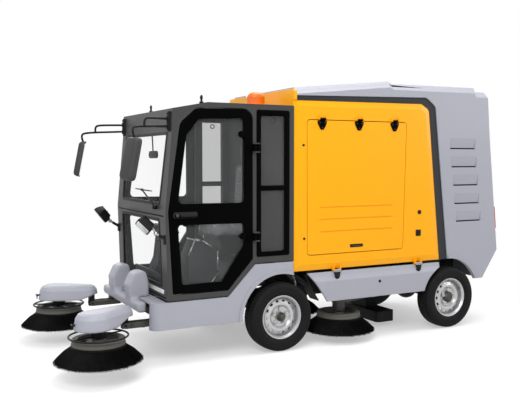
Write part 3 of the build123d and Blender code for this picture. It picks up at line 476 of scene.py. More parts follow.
def build_hub(end, side, way):
    """Dark hub in the middle of a wheel, with its cap, and nuts on studs round it."""
    centre_x = 0 if end == "front" else REAR_X
    face = way * (WHEEL_Y + HUB_FACE)

    def at(y, r=0.0, angle=0.0):
        """Point at a distance out from the hub's face, turned round the wheel."""
        return (centre_x + r * math.cos(angle), face + way * y, AXLE_Z + r * math.sin(angle))

    shape = Shape()
    reach, size = HUB_SIZES[end]
    profile = [(0, 0), (size, 0), (size, 0.008), (size * 0.72, 0.014), (size * 0.7, reach * 0.55),
               (size * 0.55, reach * 0.8), (size * 0.3, reach * 0.84), (0, reach * 0.84)]
    shape.lathe(profile, at(0), axis=(0, way, 0), sides=40, closed=False)
    make(shape, f"hub_cap_{end}_{side}", f"wheel_{end}_{side}", "chassis_black", DARK_STEEL, smooth=30)
    nuts = Shape()
    for angle in turns(NUT_COUNT, math.pi / 2):
        nuts.rod(at(-0.002, NUT_CIRCLE, angle), at(0.012, NUT_CIRCLE, angle), 0.0125, sides=6)
        nuts.rod(at(0.01, NUT_CIRCLE, angle), at(0.02, NUT_CIRCLE, angle), 0.006, sides=12)
        nuts.rod(at(-0.004, NUT_CIRCLE, angle), at(0.0, NUT_CIRCLE, angle), 0.016, sides=20)
    make(nuts, f"wheel_nuts_{end}_{side}", f"wheel_{end}_{side}", "wheel_steel", STEEL, bevel=0.0008)
    valve = Shape()
    valve.rod(at(-0.004, 0.166, 0.5), at(0.016, 0.16, 0.5), 0.0035, sides=10)
    make(valve, f"valve_{end}_{side}", f"wheel_{end}_{side}", "inner_plastic", PLASTIC)


for side, way in SIDES:
    for end in ("front", "rear"):
        build_tyre(end, side, way)
        build_hub(end, side, way)

# Disc brushes

BRISTLES = 6000
TUFTS = 64
BRISTLE_RADIUS = 0.0014
BRISTLE_REACH = 0.340
BRISTLE_DROP = 0.1285
BRUSH_HEIGHT = 0.130                  # from the bristles' tips to the underside of the plate
PLATE_THICK = 0.022
PLATE_TOP = 0.044


def build_brush_plate(node, body, centre):
    """Ring plate on six spokes with its hub, clamp band and bolts."""
    disc = Shape()
    disc.lathe([(0.152, 0.001), (0.2035, 0.001), (0.2038, 0.012), (0.2, 0.016), (0.2, 0.034),
                (0.2035, 0.038), (0.199, PLATE_TOP), (0.156, PLATE_TOP), (0.152, PLATE_TOP - 0.005)],
               centre, sides=96)
    disc.lathe([(0.017, 0.002), (0.09, 0.002), (0.092, 0.018), (0.05, PLATE_THICK), (0.046, 0.04),
                (0.017, 0.04)], centre, sides=48)
    for angle in turns(6):
        ahead = Vector((math.cos(angle), math.sin(angle), 0))
        across = Vector((-math.sin(angle), math.cos(angle), 0)) * 0.02
        corners = []
        for r in (0.085, 0.158):
            for z in (0.004, 0.018):
                middle = centre + ahead * r + Vector((0, 0, z))
                corners += [middle - across, middle + across]
        disc.faces(corners, BOX_FACES)
    for angle in turns(12, 0.2):
        spot = centre + Vector((0.178 * math.cos(angle), 0.178 * math.sin(angle), PLATE_TOP))
        disc.rod(spot - Vector((0, 0, 0.004)), spot + Vector((0, 0, 0.005)), 0.008, sides=6)
    make(disc, f"plate_{node}", body, "bristle_black", PLATE, bevel=0.001, replaces=(node,))


def build_bristle_root(node, body, centre):
    """Dark mass of bristles inside, which the loose ones lie on."""
    root = Shape()
    root.lathe([(0.158, 0.001), (0.2, 0.001), (0.209, -0.008), (0.205, -0.022), (0.16, -0.024)],
               centre, sides=96)
    root.lathe([(0.165, -0.02), (0.2, -0.02), (0.312, -0.112), (0.318, -0.12), (0.262, -0.12)],
               centre, sides=96)
    make(root, f"bristle_root_{node}", body, "bristle_black", BRISTLE, smooth=40)


def build_bristles(node, body, centre, draw):
    """Loose bristles in five rows of tufts, each a thin three-sided rod in two lengths."""
    points, loops = [], []
    for i in range(BRISTLES):
        row = i % 5
        angle = draw.uniform(0, math.tau)
        tuft = round(angle / math.tau * TUFTS) / TUFTS * math.tau
        angle = tuft + (angle - tuft) * 0.86
        start_r = 0.166 + 0.009 * row
        end_r = min(0.255 + 0.0195 * row + draw.uniform(-0.012, 0.006), BRISTLE_REACH)
        swirl = angle + draw.uniform(-0.03, 0.03)
        drop = BRISTLE_DROP - draw.uniform(0, 0.009)
        start = len(points)
        for t in (0.0, 0.5, 1.0):
            r = start_r + (end_r - start_r) * (t ** 0.9)
            a = angle + (swirl - angle) * t
            z = -0.012 - (drop - 0.012) * (t ** 1.15)
            middle = centre + Vector((r * math.cos(a), r * math.sin(a), z))
            size = BRISTLE_RADIUS * (1 - 0.35 * t)
            for turn in (0, 2.094, 4.189):
                side_way = Vector((-math.sin(a), math.cos(a), 0)) * math.cos(turn)
                up_way = Vector((math.cos(a) * 0.6, math.sin(a) * 0.6, 0.8)) * math.sin(turn)
                points.append(middle + (side_way + up_way) * size)
        for ring in (start, start + 3):
            for k in range(3):
                m = (k + 1) % 3
                loops.append((ring + k, ring + m, ring + 3 + m, ring + 3 + k))
        loops.append((start + 8, start + 7, start + 6))
    tufts = Shape()
    tufts.faces(points, loops)
    make(tufts, f"bristles_{node}", body, "bristle_black", BRISTLE, smooth=0)


def build_brush(node, seed):
    """Disc brush on the body of its own name: plate, inner mass and loose bristles."""
    low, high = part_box(node)
    centre = Vector(((low[0] + high[0]) / 2 - AXLE_X, (low[1] + high[1]) / 2, low[2] + BRUSH_HEIGHT))
    build_brush_plate(node, node, centre)
    build_bristle_root(node, node, centre)
    build_bristles(node, node, centre, random.Random(seed))


for number, (side, way) in enumerate(SIDES):
    build_brush(f"front_brush_{side}", 11 + number)
    build_brush(f"mid_brush_{side}", 21 + number)

# Cab outside: gaskets, wiper, mirrors, work lamps, lifting eyes

CROSSBAR_Z = 1.235
SCREEN = ((-1.032, 0.526), (-1.052, CROSSBAR_Z), (-0.99, 1.9))
# Both panes and the strip under them, as (y, z) seen from the front
UPPER_PANE = [(-0.5, 1.296), (0.5, 1.296), (0.548, 1.88), (-0.548, 1.88)]
LOWER_PANE = [(-0.52, 0.628), (0.52, 0.628), (0.5, 1.18), (-0.5, 1.18)]
STRIP = oblong(-0.556, 0.573, -0.192, 0.607)
STRIP_SLIT = oblong(-0.5, 0.589, -0.25, 0.591)
STRIP_SPAN = (-0.001, 0.003)


def screen_x(z):
    """Front face of the cab at a height."""
    (x_low, z_low), (x_high, z_high) = SCREEN[0:2] if z < CROSSBAR_Z else SCREEN[1:3]
    return x_low + (x_high - x_low) * (z - z_low) / (z_high - z_low)


def on_screen(y, z, out):
    """Point at a distance in front of the cab's front face."""
    return (screen_x(z) - out, y, z)


def build_screen_trim():
    """Rubber gaskets round both panes, and a bare white strip under the lower one."""
    gasket = Shape()
    for pane in (UPPER_PANE, LOWER_PANE):
        edge = rounded(pane, 0.035)
        gasket.frame_strip(grown(edge, 0.006), grown(edge, -0.02), on_screen, (-0.012, 0.0035))
    make(gasket, "windshield_gaskets", "root", "inner_plastic", PLASTIC, bevel=0.001)
    strip = Shape()
    strip.frame_strip(STRIP, STRIP_SLIT, on_screen, STRIP_SPAN)
    strip.stack([[on_screen(y, z, out) for y, z in STRIP_SLIT] for out in STRIP_SPAN])
    make(strip, "white_strip", "root", "shell_grey", WHITE)
    sill = Shape()
    for low_z in (0.542, 1.205):
        line = oblong(-0.6, low_z, 0.6, low_z + 0.008)
        sill.stack([[on_screen(y, z, out) for y, z in line] for out in (-0.001, 0.002)])
    make(sill, "screen_joint_lines", "root", "cab_grey", LINE)


def build_wiper():
    """Wiper: pivot low on the near side, bent arm, and a blade that lies level."""
    pivot = Vector(on_screen(-0.437, 1.272, 0.012))
    elbow = Vector(on_screen(-0.4, 1.31, 0.032))
    holder = Vector(on_screen(-0.11, 1.404, 0.026))
    arm = Shape()
    arm.rod(pivot + Vector((0.014, 0, 0)), pivot - Vector((0.02, 0, 0)), 0.016, sides=24)
    arm.rod(pivot - Vector((0.02, 0, 0)), pivot - Vector((0.026, 0, 0)), 0.009, sides=6)
    arm.tube(smooth_path([pivot - Vector((0.012, 0, 0)), elbow, (elbow + holder) / 2, holder]), 0.0065)
    arm.rod(holder + Vector((0.006, 0, 0)), holder - Vector((0.006, 0, 0)), 0.012, sides=12)
    make(arm, "wiper_arm", "root", "hardware_black", CHASSIS)
    blade = Shape()
    ends = [Vector(on_screen(y, z, 0.014)) for y, z in ((0.104, 1.408), (-0.317, 1.4))]
    blade.tube([ends[0], ends[1]], 0.0045, sides=8)
    for t in (0.12, 0.38, 0.62, 0.88):
        spot = ends[0].lerp(ends[1], t)
        blade.rod(spot, spot - Vector((0.01, 0, 0)), 0.004, sides=8)
    spine = []
    for t in (0.1, 0.3, 0.5, 0.7, 0.9):
        spine.append(ends[0].lerp(ends[1], t) - Vector((0.008 + 0.008 * math.sin(math.pi * t), 0, 0)))
    blade.tube(smooth_path(spine), 0.004, sides=8)
    lip = ((0.009, -0.001), (0, -0.003), (0, 0.003), (0.009, 0.001))
    blade.stack([[end + Vector((x, 0, z)) for x, z in lip] for end in ends])
    make(blade, "wiper_blade", "root", "inner_plastic", PLASTIC)


# Middle of the right mirror's head, how far it is turned out, and how much it leans back
MIRROR_CENTRE = (-1.376, 0.774, 1.668)
MIRROR_TOE = math.radians(18)
MIRROR_LEAN = 0.2


def build_mirror(side, way):
    """Mirror: rounded head on two bent rods from a bracket at the top corner of the cab."""
    x, y, z = MIRROR_CENTRE
    centre = Vector((x, way * y, z))
    up = Vector((MIRROR_LEAN, 0, 1)).normalized()
    ahead = Vector((-math.cos(MIRROR_TOE), way * math.sin(MIRROR_TOE), 0))
    ahead = (ahead - up * ahead.dot(up)).normalized()
    across = up.cross(ahead)
    edge = rounded([(-0.08, -0.165), (0.08, -0.165), (0.076, 0.165), (-0.076, 0.165)], 0.042, steps=7)

    def ring(depth, less):
        """The head's outline moved in by an amount, at a depth."""
        return [centre + across * a + up * b + ahead * depth for a, b in grown(edge, -less)]

    head = Shape()
    head.stack([ring(-0.026, 0.004), ring(-0.028, 0.0015), ring(-0.024, 0), ring(0.0, 0.001),
                ring(0.014, 0.006), ring(0.023, 0.015), ring(0.028, 0.028)])
    make(head, f"mirror_head_{side}", "root", "inner_plastic", MIRROR_SHELL, smooth=50,
         replaces=("mirrors",))
    glass = Shape()
    glass.stack([ring(-0.026, 0.012), ring(-0.0292, 0.012), ring(-0.0296, 0.0135)])
    make(glass, f"mirror_glass_{side}", "root", "clear_glass", MIRROR)
    rods = Shape()
    top = centre + up * 0.16
    low = centre - up * 0.15
    lower = [(-0.985, way * 0.592, 1.925), (-1.08, way * 0.63, 1.922), (-1.3, way * 0.738, 1.912),
             (-1.352, way * 0.766, 1.886), top + Vector((0.012, 0, -0.02))]
    upper = [(-0.985, way * 0.592, 1.985), (-1.07, way * 0.625, 1.985), (-1.2, way * 0.69, 1.982),
             (-1.235, way * 0.707, 1.965), (-1.24, way * 0.709, 1.918)]
    rods.tube(smooth_path(lower), 0.0095)
    rods.tube(smooth_path(upper), 0.0095)
    rods.rod(top - ahead * 0.02 - up * 0.006, top - ahead * 0.02 + up * 0.012, 0.013)
    rods.tube([top - up * 0.01, low], 0.008)
    make(rods, f"mirror_rods_{side}", "root", "hardware_black", CHASSIS)
    bracket = Shape()
    bracket.box((-1.006, -0.972), side_span(way, 0.574, 0.61), (1.885, 2.045))
    for clamp in ((1.9, 1.95), (1.965, 2.01)):
        bracket.box((-1.016, -1.0), side_span(way, 0.58, 0.604), clamp)
    for z in (1.957, 2.026):
        bracket.rod((-1.0, way * 0.592, z), (-1.016, way * 0.592, z), 0.008, sides=6)
    make(bracket, f"mirror_bracket_{side}", "root", "hardware_black", CHASSIS, bevel=0.003)


# Work lamps: centre of each, and for the right one where the lens looks and the line of its long edge
LAMP_CENTRES = {"left": (-1.19, -0.558, 1.142), "right": (-1.222, 0.558, 1.158)}
LAMP_LOOK = (-0.724, 0.147, -0.601)
LAMP_EDGE = (0.672, 0.315, -0.668)


def build_lamp(side, way):
    """Work lamp: square dark housing with a domed back, ribbed lens, and a ball joint on a bracket."""
    centre = Vector(LAMP_CENTRES[side])
    look = Vector((LAMP_LOOK[0], way * LAMP_LOOK[1], LAMP_LOOK[2])).normalized()
    across = Vector((LAMP_EDGE[0], way * LAMP_EDGE[1], LAMP_EDGE[2]))
    across = (across - look * across.dot(look)).normalized()
    up = across.cross(look)
    edge = rounded(oblong(-0.068, -0.06, 0.068, 0.06), 0.022)

    def ring(depth, less):
        """The lamp's outline moved in by an amount, at a depth."""
        return [centre + across * a + up * b + look * depth for a, b in grown(edge, -less)]

    shell = Shape()
    shell.stack([ring(0.03, 0.007), ring(0.034, 0.003), ring(0.03, 0), ring(0.01, 0.0), ring(-0.012, 0.006),
                 ring(-0.034, 0.017), ring(-0.048, 0.03)])
    make(shell, f"lamp_housing_{side}", "root", "inner_plastic", CHASSIS, smooth=40, replaces=("headlamps",))
    lens = Shape()
    lens.stack([ring(0.03, 0.0095), ring(0.0365, 0.0095), ring(0.038, 0.012)])
    for k in range(-3, 4):
        middle = centre + look * 0.038 + across * 0.016 * k
        lens.tube([middle - up * 0.042, middle + up * 0.042], 0.0022, sides=6)
    make(lens, f"lamp_lens_{side}", "root", "clear_glass", LENS, smooth=30)
    joint = Shape()
    back = centre - look * 0.046
    ball = centre + Vector((0.078, way * 0.034, -0.07))
    foot = Vector((-1.046, way * 0.618, 1.03))
    joint.rod(back, ball, 0.009, sides=12)
    joint.ball(ball, 0.019)
    joint.rod(ball, ball.lerp(foot, 0.45), 0.011, sides=12)
    make(joint, f"lamp_joint_{side}", "root", "wheel_steel", STEEL, smooth=40)
    arm = Shape()
    arm.tube(smooth_path([ball.lerp(foot, 0.3), ball.lerp(foot, 0.7), foot]), 0.0125)
    arm.box((foot.x - 0.012, foot.x + 0.02), (foot.y - 0.02, foot.y + 0.02), (foot.z - 0.045, foot.z + 0.03))
    make(arm, f"lamp_bracket_{side}", "root", "hardware_black", CHASSIS, bevel=0.002)


def build_lifting_eye(side, way):
    """Eye bolt on the cab's roof."""
    eye = Shape()
    base = Vector((-0.723, way * 0.612, 2.117))
    eye.rod(base, base + Vector((0, 0, 0.012)), 0.018, sides=24)
    eye.rod(base, base + Vector((0, 0, 0.032)), 0.009, sides=16)
    ring = [base + Vector((0.0, 0.015 * math.cos(a), 0.046 + 0.015 * math.sin(a))) for a in turns(24)]
    eye.tube(ring + ring[:2], 0.0065, sides=10)
    make(eye, f"lifting_eye_{side}", "root", "hardware_black", CHASSIS)


def build_quarter_frame(side, way):
    """Rubber frame round both quarter panes, with the bar between them."""
    frame_shape = Shape()
    span = side_span(way, 0.640, 0.6485)
    outer = rounded(oblong(-0.236, 0.836, 0.085, 2.08), 0.02)
    inner = rounded(oblong(-0.194, 0.878, 0.03, 2.031), 0.02)
    frame_shape.frame_strip(outer, inner, "Y", span)
    frame_shape.box((-0.2, 0.036), span, (1.398, 1.441))
    make(frame_shape, f"quarter_frame_{side}", "root", "inner_plastic", DOOR_BLACK, bevel=0.0015)
    vent = Shape()
    vent.lathe(oblong(0.016, 0, 0.024, 0.006), (-0.07, way * 0.626, 1.995), axis=(0, way, 0), sides=32)
    make(vent, f"quarter_vent_{side}", "root", "inner_plastic", PLASTIC)


def build_cab_door_trim(side, way):
    """Handle in its recess, lock, and round lugs at the rear edge of the glass."""
    body = f"cab_door_{side}"
    face = way * BODY_HALF
    plate = Shape()
    slot = rounded(oblong(-0.985, 1.19, -0.775, 1.24), 0.024, steps=8)
    plate.prism(slot, "Y", side_span(way, BODY_HALF, BODY_HALF + 0.003))
    paddle = rounded(oblong(-0.93, 1.203, -0.792, 1.227), 0.01)
    plate.prism(paddle, "Y", side_span(way, BODY_HALF, BODY_HALF + 0.024))
    make(plate, f"door_handle_{side}", body, "inner_plastic", PLASTIC, bevel=0.002)
    lock = Shape()
    lock.rod((-0.956, face, 1.215), (-0.956, face + way * 0.0245, 1.215), 0.0135, sides=32)
    make(lock, f"door_lock_{side}", body, "wheel_steel", DARK_STEEL, bevel=0.001)
    lugs = Shape()
    for x, z in ((-0.372, 1.873), (-0.366, 1.02)):
        lugs.rod((x, face - way * 0.026, z), (x, face + way * 0.006, z), 0.027, sides=32)
    make(lugs, f"door_lugs_{side}", body, "door_black", DOOR_BLACK, bevel=0.002)


build_screen_trim()
build_wiper()
for side, way in SIDES:
    build_mirror(side, way)
    build_lamp(side, way)
    build_lifting_eye(side, way)
    build_quarter_frame(side, way)
    build_cab_door_trim(side, way)

# Body sides: bolts, latches, handles, hinge leaves and the struts by the wheels

HINGES_X = (0.417, 0.816, 1.221)
HINGE_NUTS = ((-0.026, 1.988), (0.026, 1.988), (0, 1.944))
LEAVES_X = (0.575, 1.515)
# Latch, handle and the handle's slit: name, body or root, outline, corner radius, how far in and out
# from the body's side, slot, material and bevel
SIDE_PLATES = (
    ("side_latch", "", oblong(1.492, 0.929, 1.552, 0.989), 0.008, (-0.004, 0.005),
     "hardware_black", CHASSIS, 0.001),
    ("access_handle", "access_door", oblong(0.728, 0.864, 0.868, 0.89), 0.006, (-0.007, 0.003),
     "hardware_black", CHASSIS, 0.0015),
    ("access_handle_slit", "access_door", oblong(0.75, 0.872, 0.846, 0.88), 0.003, (0, 0.0045),
     "wheel_steel", DARK_STEEL, 0),
)


def build_side_trim(side, way):
    """Small fittings on one side of the body, its access door and its skirt."""
    face = way * BODY_HALF

    def disc(shape, x, z, radius, out, sides=24):
        """Round head on the body's side."""
        shape.rod((x, face - way * 0.004, z), (x, face + way * out, z), radius, sides=sides)

    bolts = Shape()
    for x, z in ((0.227, 1.787), (0.236, 0.967)):
        disc(bolts, x, z, 0.011, 0.004)
        disc(bolts, x, z, 0.007, 0.009, sides=6)
    disc(bolts, 1.532, 1.159, 0.02, 0.008)
    make(bolts, f"side_bolts_{side}", "root", "hardware_black", CHASSIS, bevel=0.001)
    for name, body, corners, radius, (inner, outer), slot, material, bevel in SIDE_PLATES:
        plate = Shape()
        plate.prism(rounded(corners, radius), "Y", side_span(way, BODY_HALF + inner, BODY_HALF + outer))
        make(plate, f"{name}_{side}", f"{body}_{side}" if body else "root", slot, material, bevel=bevel)
    nuts = Shape()
    for x in HINGES_X:
        for across, z in HINGE_NUTS:
            nuts.rod((x + across, face, z), (x + across, face + way * 0.0115, z), 0.006, sides=6)
    make(nuts, f"access_hinge_bolts_{side}", f"access_door_{side}", "hardware_black", DARK_STEEL,
         bevel=0.0006)
    leaves = Shape()
    for x in LEAVES_X:
        leaf = [(x - 0.034, 0.652), (x + 0.034, 0.652), (x + 0.026, 0.604), (x + 0.01, 0.588),
                (x - 0.01, 0.588), (x - 0.026, 0.604)]
        leaves.prism(leaf, "Y", side_span(way, 0.6585, 0.668))
        leaves.rod((x, way * 0.666, 0.612), (x, way * 0.675, 0.612), 0.009, sides=6)
    make(leaves, f"skirt_hinge_leaves_{side}", f"skirt_{side}", "hardware_black", CHASSIS, bevel=0.0015)
    lock = Shape()
    lock.rod((1.046, way * 0.668, 0.532), (1.046, way * 0.675, 0.532), 0.014, sides=24)
    make(lock, f"skirt_lock_{side}", f"skirt_{side}", "hardware_black", CHASSIS, bevel=0.001)
    strut = Shape()
    strut.rod((0.205, way * 0.5, 0.66), (0.222, way * 0.5, 0.6), 0.013)
    strut.rod((0.222, way * 0.5, 0.6), (0.24, way * 0.5, 0.53), 0.008)
    make(strut, f"wheel_strut_{side}", "root", "wheel_steel", STEEL)


for side, way in SIDES:
    build_side_trim(side, way)

# Seat: padded pieces, swollen by simulation, under a crinkled film

SEAT_VOXEL = 0.006
SWELL_FRAMES = 20
SWELL_LIMIT = 0.024
CHANNEL_DEPTH = 0.006
CHANNEL_WIDTH = 0.007
WRINKLE = 0.0016
FILM_SHARE = 0.035                    # of the pad's faces kept in its film cover
SEAT_RAKE = 0.028
RAKE_FOOT = 0.98


def applied(piece, modifier):
    """Make a modifier's result the piece's own mesh."""
    bpy.context.view_layer.objects.active = piece
    bpy.ops.object.modifier_apply(modifier=modifier.name)


def swell(piece):
    """Blow the pad up as cloth, and hold each point within a limit of where it started."""
    cloth = piece.modifiers.new("cloth", "CLOTH")
    cloth.settings.use_pressure = True
    cloth.settings.uniform_pressure_force = 4
    cloth.settings.effector_weights.gravity = 0
    cloth.point_cache.frame_start = 1
    cloth.point_cache.frame_end = SWELL_FRAMES
    start = [vertex.co.copy() for vertex in piece.data.vertices]
    for number in range(1, SWELL_FRAMES + 1):
        bpy.context.scene.frame_set(number)
    shape = piece.evaluated_get(bpy.context.evaluated_depsgraph_get())
    moved = [vertex.co.copy() for vertex in shape.data.vertices]
    piece.modifiers.remove(cloth)
    bpy.context.scene.frame_set(1)
    for vertex, before, after in zip(piece.data.vertices, start, moved):
        step = after - before
        if step.length > SWELL_LIMIT:
            step *= SWELL_LIMIT / step.length
        vertex.co = before + step


def build_pad(name, shape, channels, node, loft_room):
    """Padded piece from a shape, with sewn channels given as (axis, place), and its film cover."""
    pad = make(shape, name, "root", "seat_cover", SEAT, smooth=0, replaces=(node,))
    even = pad.modifiers.new("even", "REMESH")
    even.mode = "VOXEL"
    even.voxel_size = SEAT_VOXEL
    applied(pad, even)
    swell(pad)
    finer = pad.modifiers.new("finer", "SUBSURF")
    finer.levels = finer.render_levels = 1
    applied(pad, finer)
    normals = [vertex.normal.copy() for vertex in pad.data.vertices]
    for vertex, normal in zip(pad.data.vertices, normals):
        for axis, spot in channels:
            dip = math.exp(-((vertex.co[axis] - spot) / CHANNEL_WIDTH) ** 2)
            vertex.co -= normal * CHANNEL_DEPTH * dip
        vertex.co += normal * (noise.noise(vertex.co * 14) * WRINKLE)
    pad.data.shade_smooth()
    cover = bpy.data.objects.new(f"film_{name}", pad.data.copy())
    bpy.context.collection.objects.link(cover)
    fewer = cover.modifiers.new("fewer", "DECIMATE")
    fewer.ratio = FILM_SHARE
    applied(cover, fewer)
    normals = [vertex.normal.copy() for vertex in cover.data.vertices]
    for vertex, normal in zip(cover.data.vertices, normals):
        crumple = noise.noise(vertex.co * 9) + 0.6 * noise.noise(vertex.co * 31)
        vertex.co += normal * (loft_room * (0.55 + 0.6 * crumple))
    cover.data.materials.clear()
    cover.data.materials.append(FILM)
    cover.data.shade_flat()
    return cover


def raked(edge, layers):
    """Upright outline at each (x, amount that it is moved in), leaning back with height."""
    return [[(x + (z - RAKE_FOOT) * SEAT_RAKE, y, z) for y, z in grown(edge, -less)] for x, less in layers]


def build_seat():
    """Cushion, back and headrest with their film covers, and the headrest's posts."""
    cushion = Shape()
    edge = rounded(oblong(-0.425, -0.222, -0.08, 0.222), 0.06)
    layers = ((0.984, 0.012), (0.992, 0), (1.05, 0), (1.064, 0.014))
    cushion.stack([[(x, y, z) for x, y in grown(edge, -less)] for z, less in layers])
    covers = [build_pad("seat_pad_cushion", cushion, ((1, -0.1), (1, 0.1)), "seat_cushion", 0.014)]
    back = Shape()
    edge = rounded([(-0.205, 1.02), (0.205, 1.02), (0.195, 1.615), (-0.195, 1.615)], 0.06)
    back.stack(raked(edge, ((-0.028, 0.014), (-0.02, 0), (0.012, 0), (0.02, 0.014))))
    channels = ((2, 1.2), (2, 1.32), (2, 1.44))
    covers.append(build_pad("seat_pad_back", back, channels, "seat_back", 0.02))
    head = Shape()
    edge = rounded([(-0.11, 1.69), (0.11, 1.69), (0.1, 1.83), (-0.1, 1.83)], 0.04)
    head.stack(raked(edge, ((-0.03, 0.012), (-0.022, 0), (0.006, 0), (0.012, 0.012))))
    covers.append(build_pad("seat_pad_headrest", head, (), "seat_back", 0.022))
    for cover in covers:
        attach(cover, "root")
    posts = Shape()
    for y in (-0.06, 0.06):
        posts.rod((0.012, y, 1.6), (0.014, y, 1.7), 0.006)
    make(posts, "headrest_posts", "root", "wheel_steel", STEEL)


build_seat()

# Small parts at the side brushes


def build_head_trim(side, way):
    """Spray tee at the tip of the hood, and the perforated bracket beside the arm."""
    tee = Shape()
    joint = Vector((-1.804, way * 0.68, 0.427))
    tee.rod(joint + Vector((0.032, 0, 0)), joint, 0.008, sides=12)
    tee.rod(joint - Vector((0, 0.03, 0)), joint + Vector((0, 0.03, 0)), 0.007, sides=12)
    tee.rod(joint + Vector((0, 0, 0.004)), joint - Vector((0, 0, 0.034)), 0.006, 12, 0.0035)
    make(tee, f"spray_tee_{side}", f"brush_head_{side}", "hardware_black", CHASSIS)
    bracket = Shape()
    plate = [(-1.31, 0.332), (-1.2, 0.32), (-1.18, 0.338), (-1.186, 0.366), (-1.25, 0.369), (-1.3, 0.362)]
    bracket.prism(plate, "Y", side_span(way, 0.5495, 0.555))
    for x, z in ((-1.29, 0.347), (-1.262, 0.347), (-1.234, 0.345), (-1.206, 0.343)):
        bracket.rod((x, way * 0.554, z), (x, way * 0.5605, z), 0.0085, sides=12)
    make(bracket, f"arm_bracket_{side}", f"brush_arm_{side}", "hardware_black", DARK_STEEL, bevel=0.0008)


for side, way in SIDES:
    build_head_trim(side, way)

# Cast carrier: its lobes run together in soft curves

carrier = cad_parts["brush_carrier"]
melt = carrier.modifiers.new("even", "REMESH")
melt.mode = "VOXEL"
melt.voxel_size = 0.009
melt.use_smooth_shade = True
soften = carrier.modifiers.new("soften", "SMOOTH")
soften.factor = 0.5
soften.iterations = 14

# Cab inside: slim steering pedestal on a toe board, and the box beside it


COLUMN_RAKE = math.radians(32)


def build_pedestal():
    """Steering pedestal with its instrument pod, toe board and column, in place of the plain dashboard."""
    pod = Shape()
    pedestal = [(-0.96, 0.56), (-0.965, 0.66), (-0.9, 0.8), (-0.875, 1.0), (-0.86, 1.05), (-0.75, 1.033),
                (-0.735, 0.99), (-0.8, 0.86), (-0.82, 0.56)]
    pod.prism(rounded(pedestal, 0.02), "Y", (-0.085, 0.085))
    hood = [(-0.9, 1.03), (-0.885, 1.078), (-0.85, 1.09), (-0.76, 1.06), (-0.735, 1.02), (-0.76, 1.0)]
    pod.prism(rounded(hood, 0.012), "Y", (-0.15, 0.15))
    toe = [(-0.974, 0.553), (-0.974, 0.7), (-0.955, 0.7), (-0.9, 0.6), (-0.84, 0.575), (-0.84, 0.553)]
    pod.prism(toe, "Y", (-0.37, 0.37))
    make(pod, "steering_pedestal", "root", "inner_plastic", PLASTIC, bevel=0.003, replaces=("dashboard",))
    column = Shape()
    foot = Vector((-0.76, 0, 1.0))
    line = Vector((math.sin(COLUMN_RAKE), 0, math.cos(COLUMN_RAKE)))
    column.rod(foot - line * 0.03, foot + line * 0.185, 0.032, sides=32)
    column.rod(foot + line * 0.185, foot + line * 0.2, 0.026, sides=32)
    column.rod(foot, foot + line * 0.262, 0.011)
    make(column, "steering_column", "root", "inner_plastic", PLASTIC, bevel=0.002)
    stalk = Shape()
    for way in (-1, 1):
        start = foot + line * 0.15
        bends = ((0, 0.02, 0), (0.005, 0.09, 0.012), (0, 0.16, 0.03))
        stalk.tube(smooth_path([start + Vector((x, way * y, z)) for x, y, z in bends]), 0.006)
    make(stalk, "column_stalks", "root", "inner_plastic", CHASSIS)


BOX_SIDE = [(-0.715, 0.556), (-0.715, 0.835), (-0.655, 0.968), (-0.577, 0.955), (-0.44, 0.86),
            (-0.44, 0.66), (-0.53, 0.556)]
BOX_SPAN = (-0.3, -0.12)


def build_floor_box():
    """Angular box beside the pedestal, with bare metal along its near edges."""
    box = Shape()
    box.prism(BOX_SIDE, "Y", BOX_SPAN)
    make(box, "floor_box", "root", "inner_plastic", INNER_GREY, bevel=0.004)
    near, far = BOX_SPAN
    edges = Shape()
    for start, end in ((1, 2), (2, 3), (3, 4), (4, 5), (6, 5)):
        (x, z), (end_x, end_z) = BOX_SIDE[start], BOX_SIDE[end]
        edges.rod((x, near, z), (end_x, near, end_z), 0.006, sides=10)
    for x, z in BOX_SIDE[2:4]:
        edges.rod((x, near, z), (x, far, z), 0.006, sides=10)
    make(edges, "floor_box_edges", "root", "wheel_steel", STEEL)


def build_inner_mirror():
    """Long mirror on a bent rod, inside at the top of the windshield."""
    glass = Shape()
    edge = rounded(oblong(-0.1, -0.032, 0.1, 0.032), 0.03)
    glass.stack([[(x, 0.02 + a, 1.705 + b) for a, b in grown(edge, -less)]
                 for x, less in ((-0.925, 0.012), (-0.918, 0), (-0.905, 0.0), (-0.902, 0.004))])
    glass.tube(smooth_path([(-0.915, 0.02, 1.73), (-0.92, 0.02, 1.85), (-0.935, 0.02, 1.99)]), 0.006)
    make(glass, "inner_mirror", "root", "inner_plastic", PLASTIC)


build_pedestal()
build_floor_box()
build_inner_mirror()

# Dark liners over the front wheels, and painted shade in the slots of the louvres

LINER_RADII = (0.381, 0.385)
LINER_START = 38                      # degrees up from level, at the rear of the wheel
LINER_TURN = 138
LINER_STEPS = 28
LOUVRES = ((1.915, 1.777), (1.935, 1.597), (1.96, 1.415), (1.979, 1.233), (2.003, 1.056))
for side, way in SIDES:
    liner = Shape()
    arc = [math.radians(LINER_START + LINER_TURN * i / LINER_STEPS) for i in range(LINER_STEPS + 1)]
    path = []
    for radius, angles in zip(LINER_RADII, (arc, reversed(arc))):
        path += [(radius * math.cos(a), AXLE_Z + radius * math.sin(a)) for a in angles]
    liner.prism(path, "Y", side_span(way, 0.35, 0.622))
    make(liner, f"arch_liner_{side}", "root", "inner_plastic", PLASTIC)
    # Near-black strips inside each louvre's slot are painted shade, standing in for the shadow under the
    # scoops
    slot_shade = Shape()
    for x, z in LOUVRES:
        slot_shade.box((x + 0.003, x + 0.327), side_span(way, 0.6215, 0.629), (z - 0.0115, z - 0.0005))
    make(slot_shade, f"louvre_slot_painted_shade_{side}", "root", "chassis_black", LINE)

# Stage, lights and camera


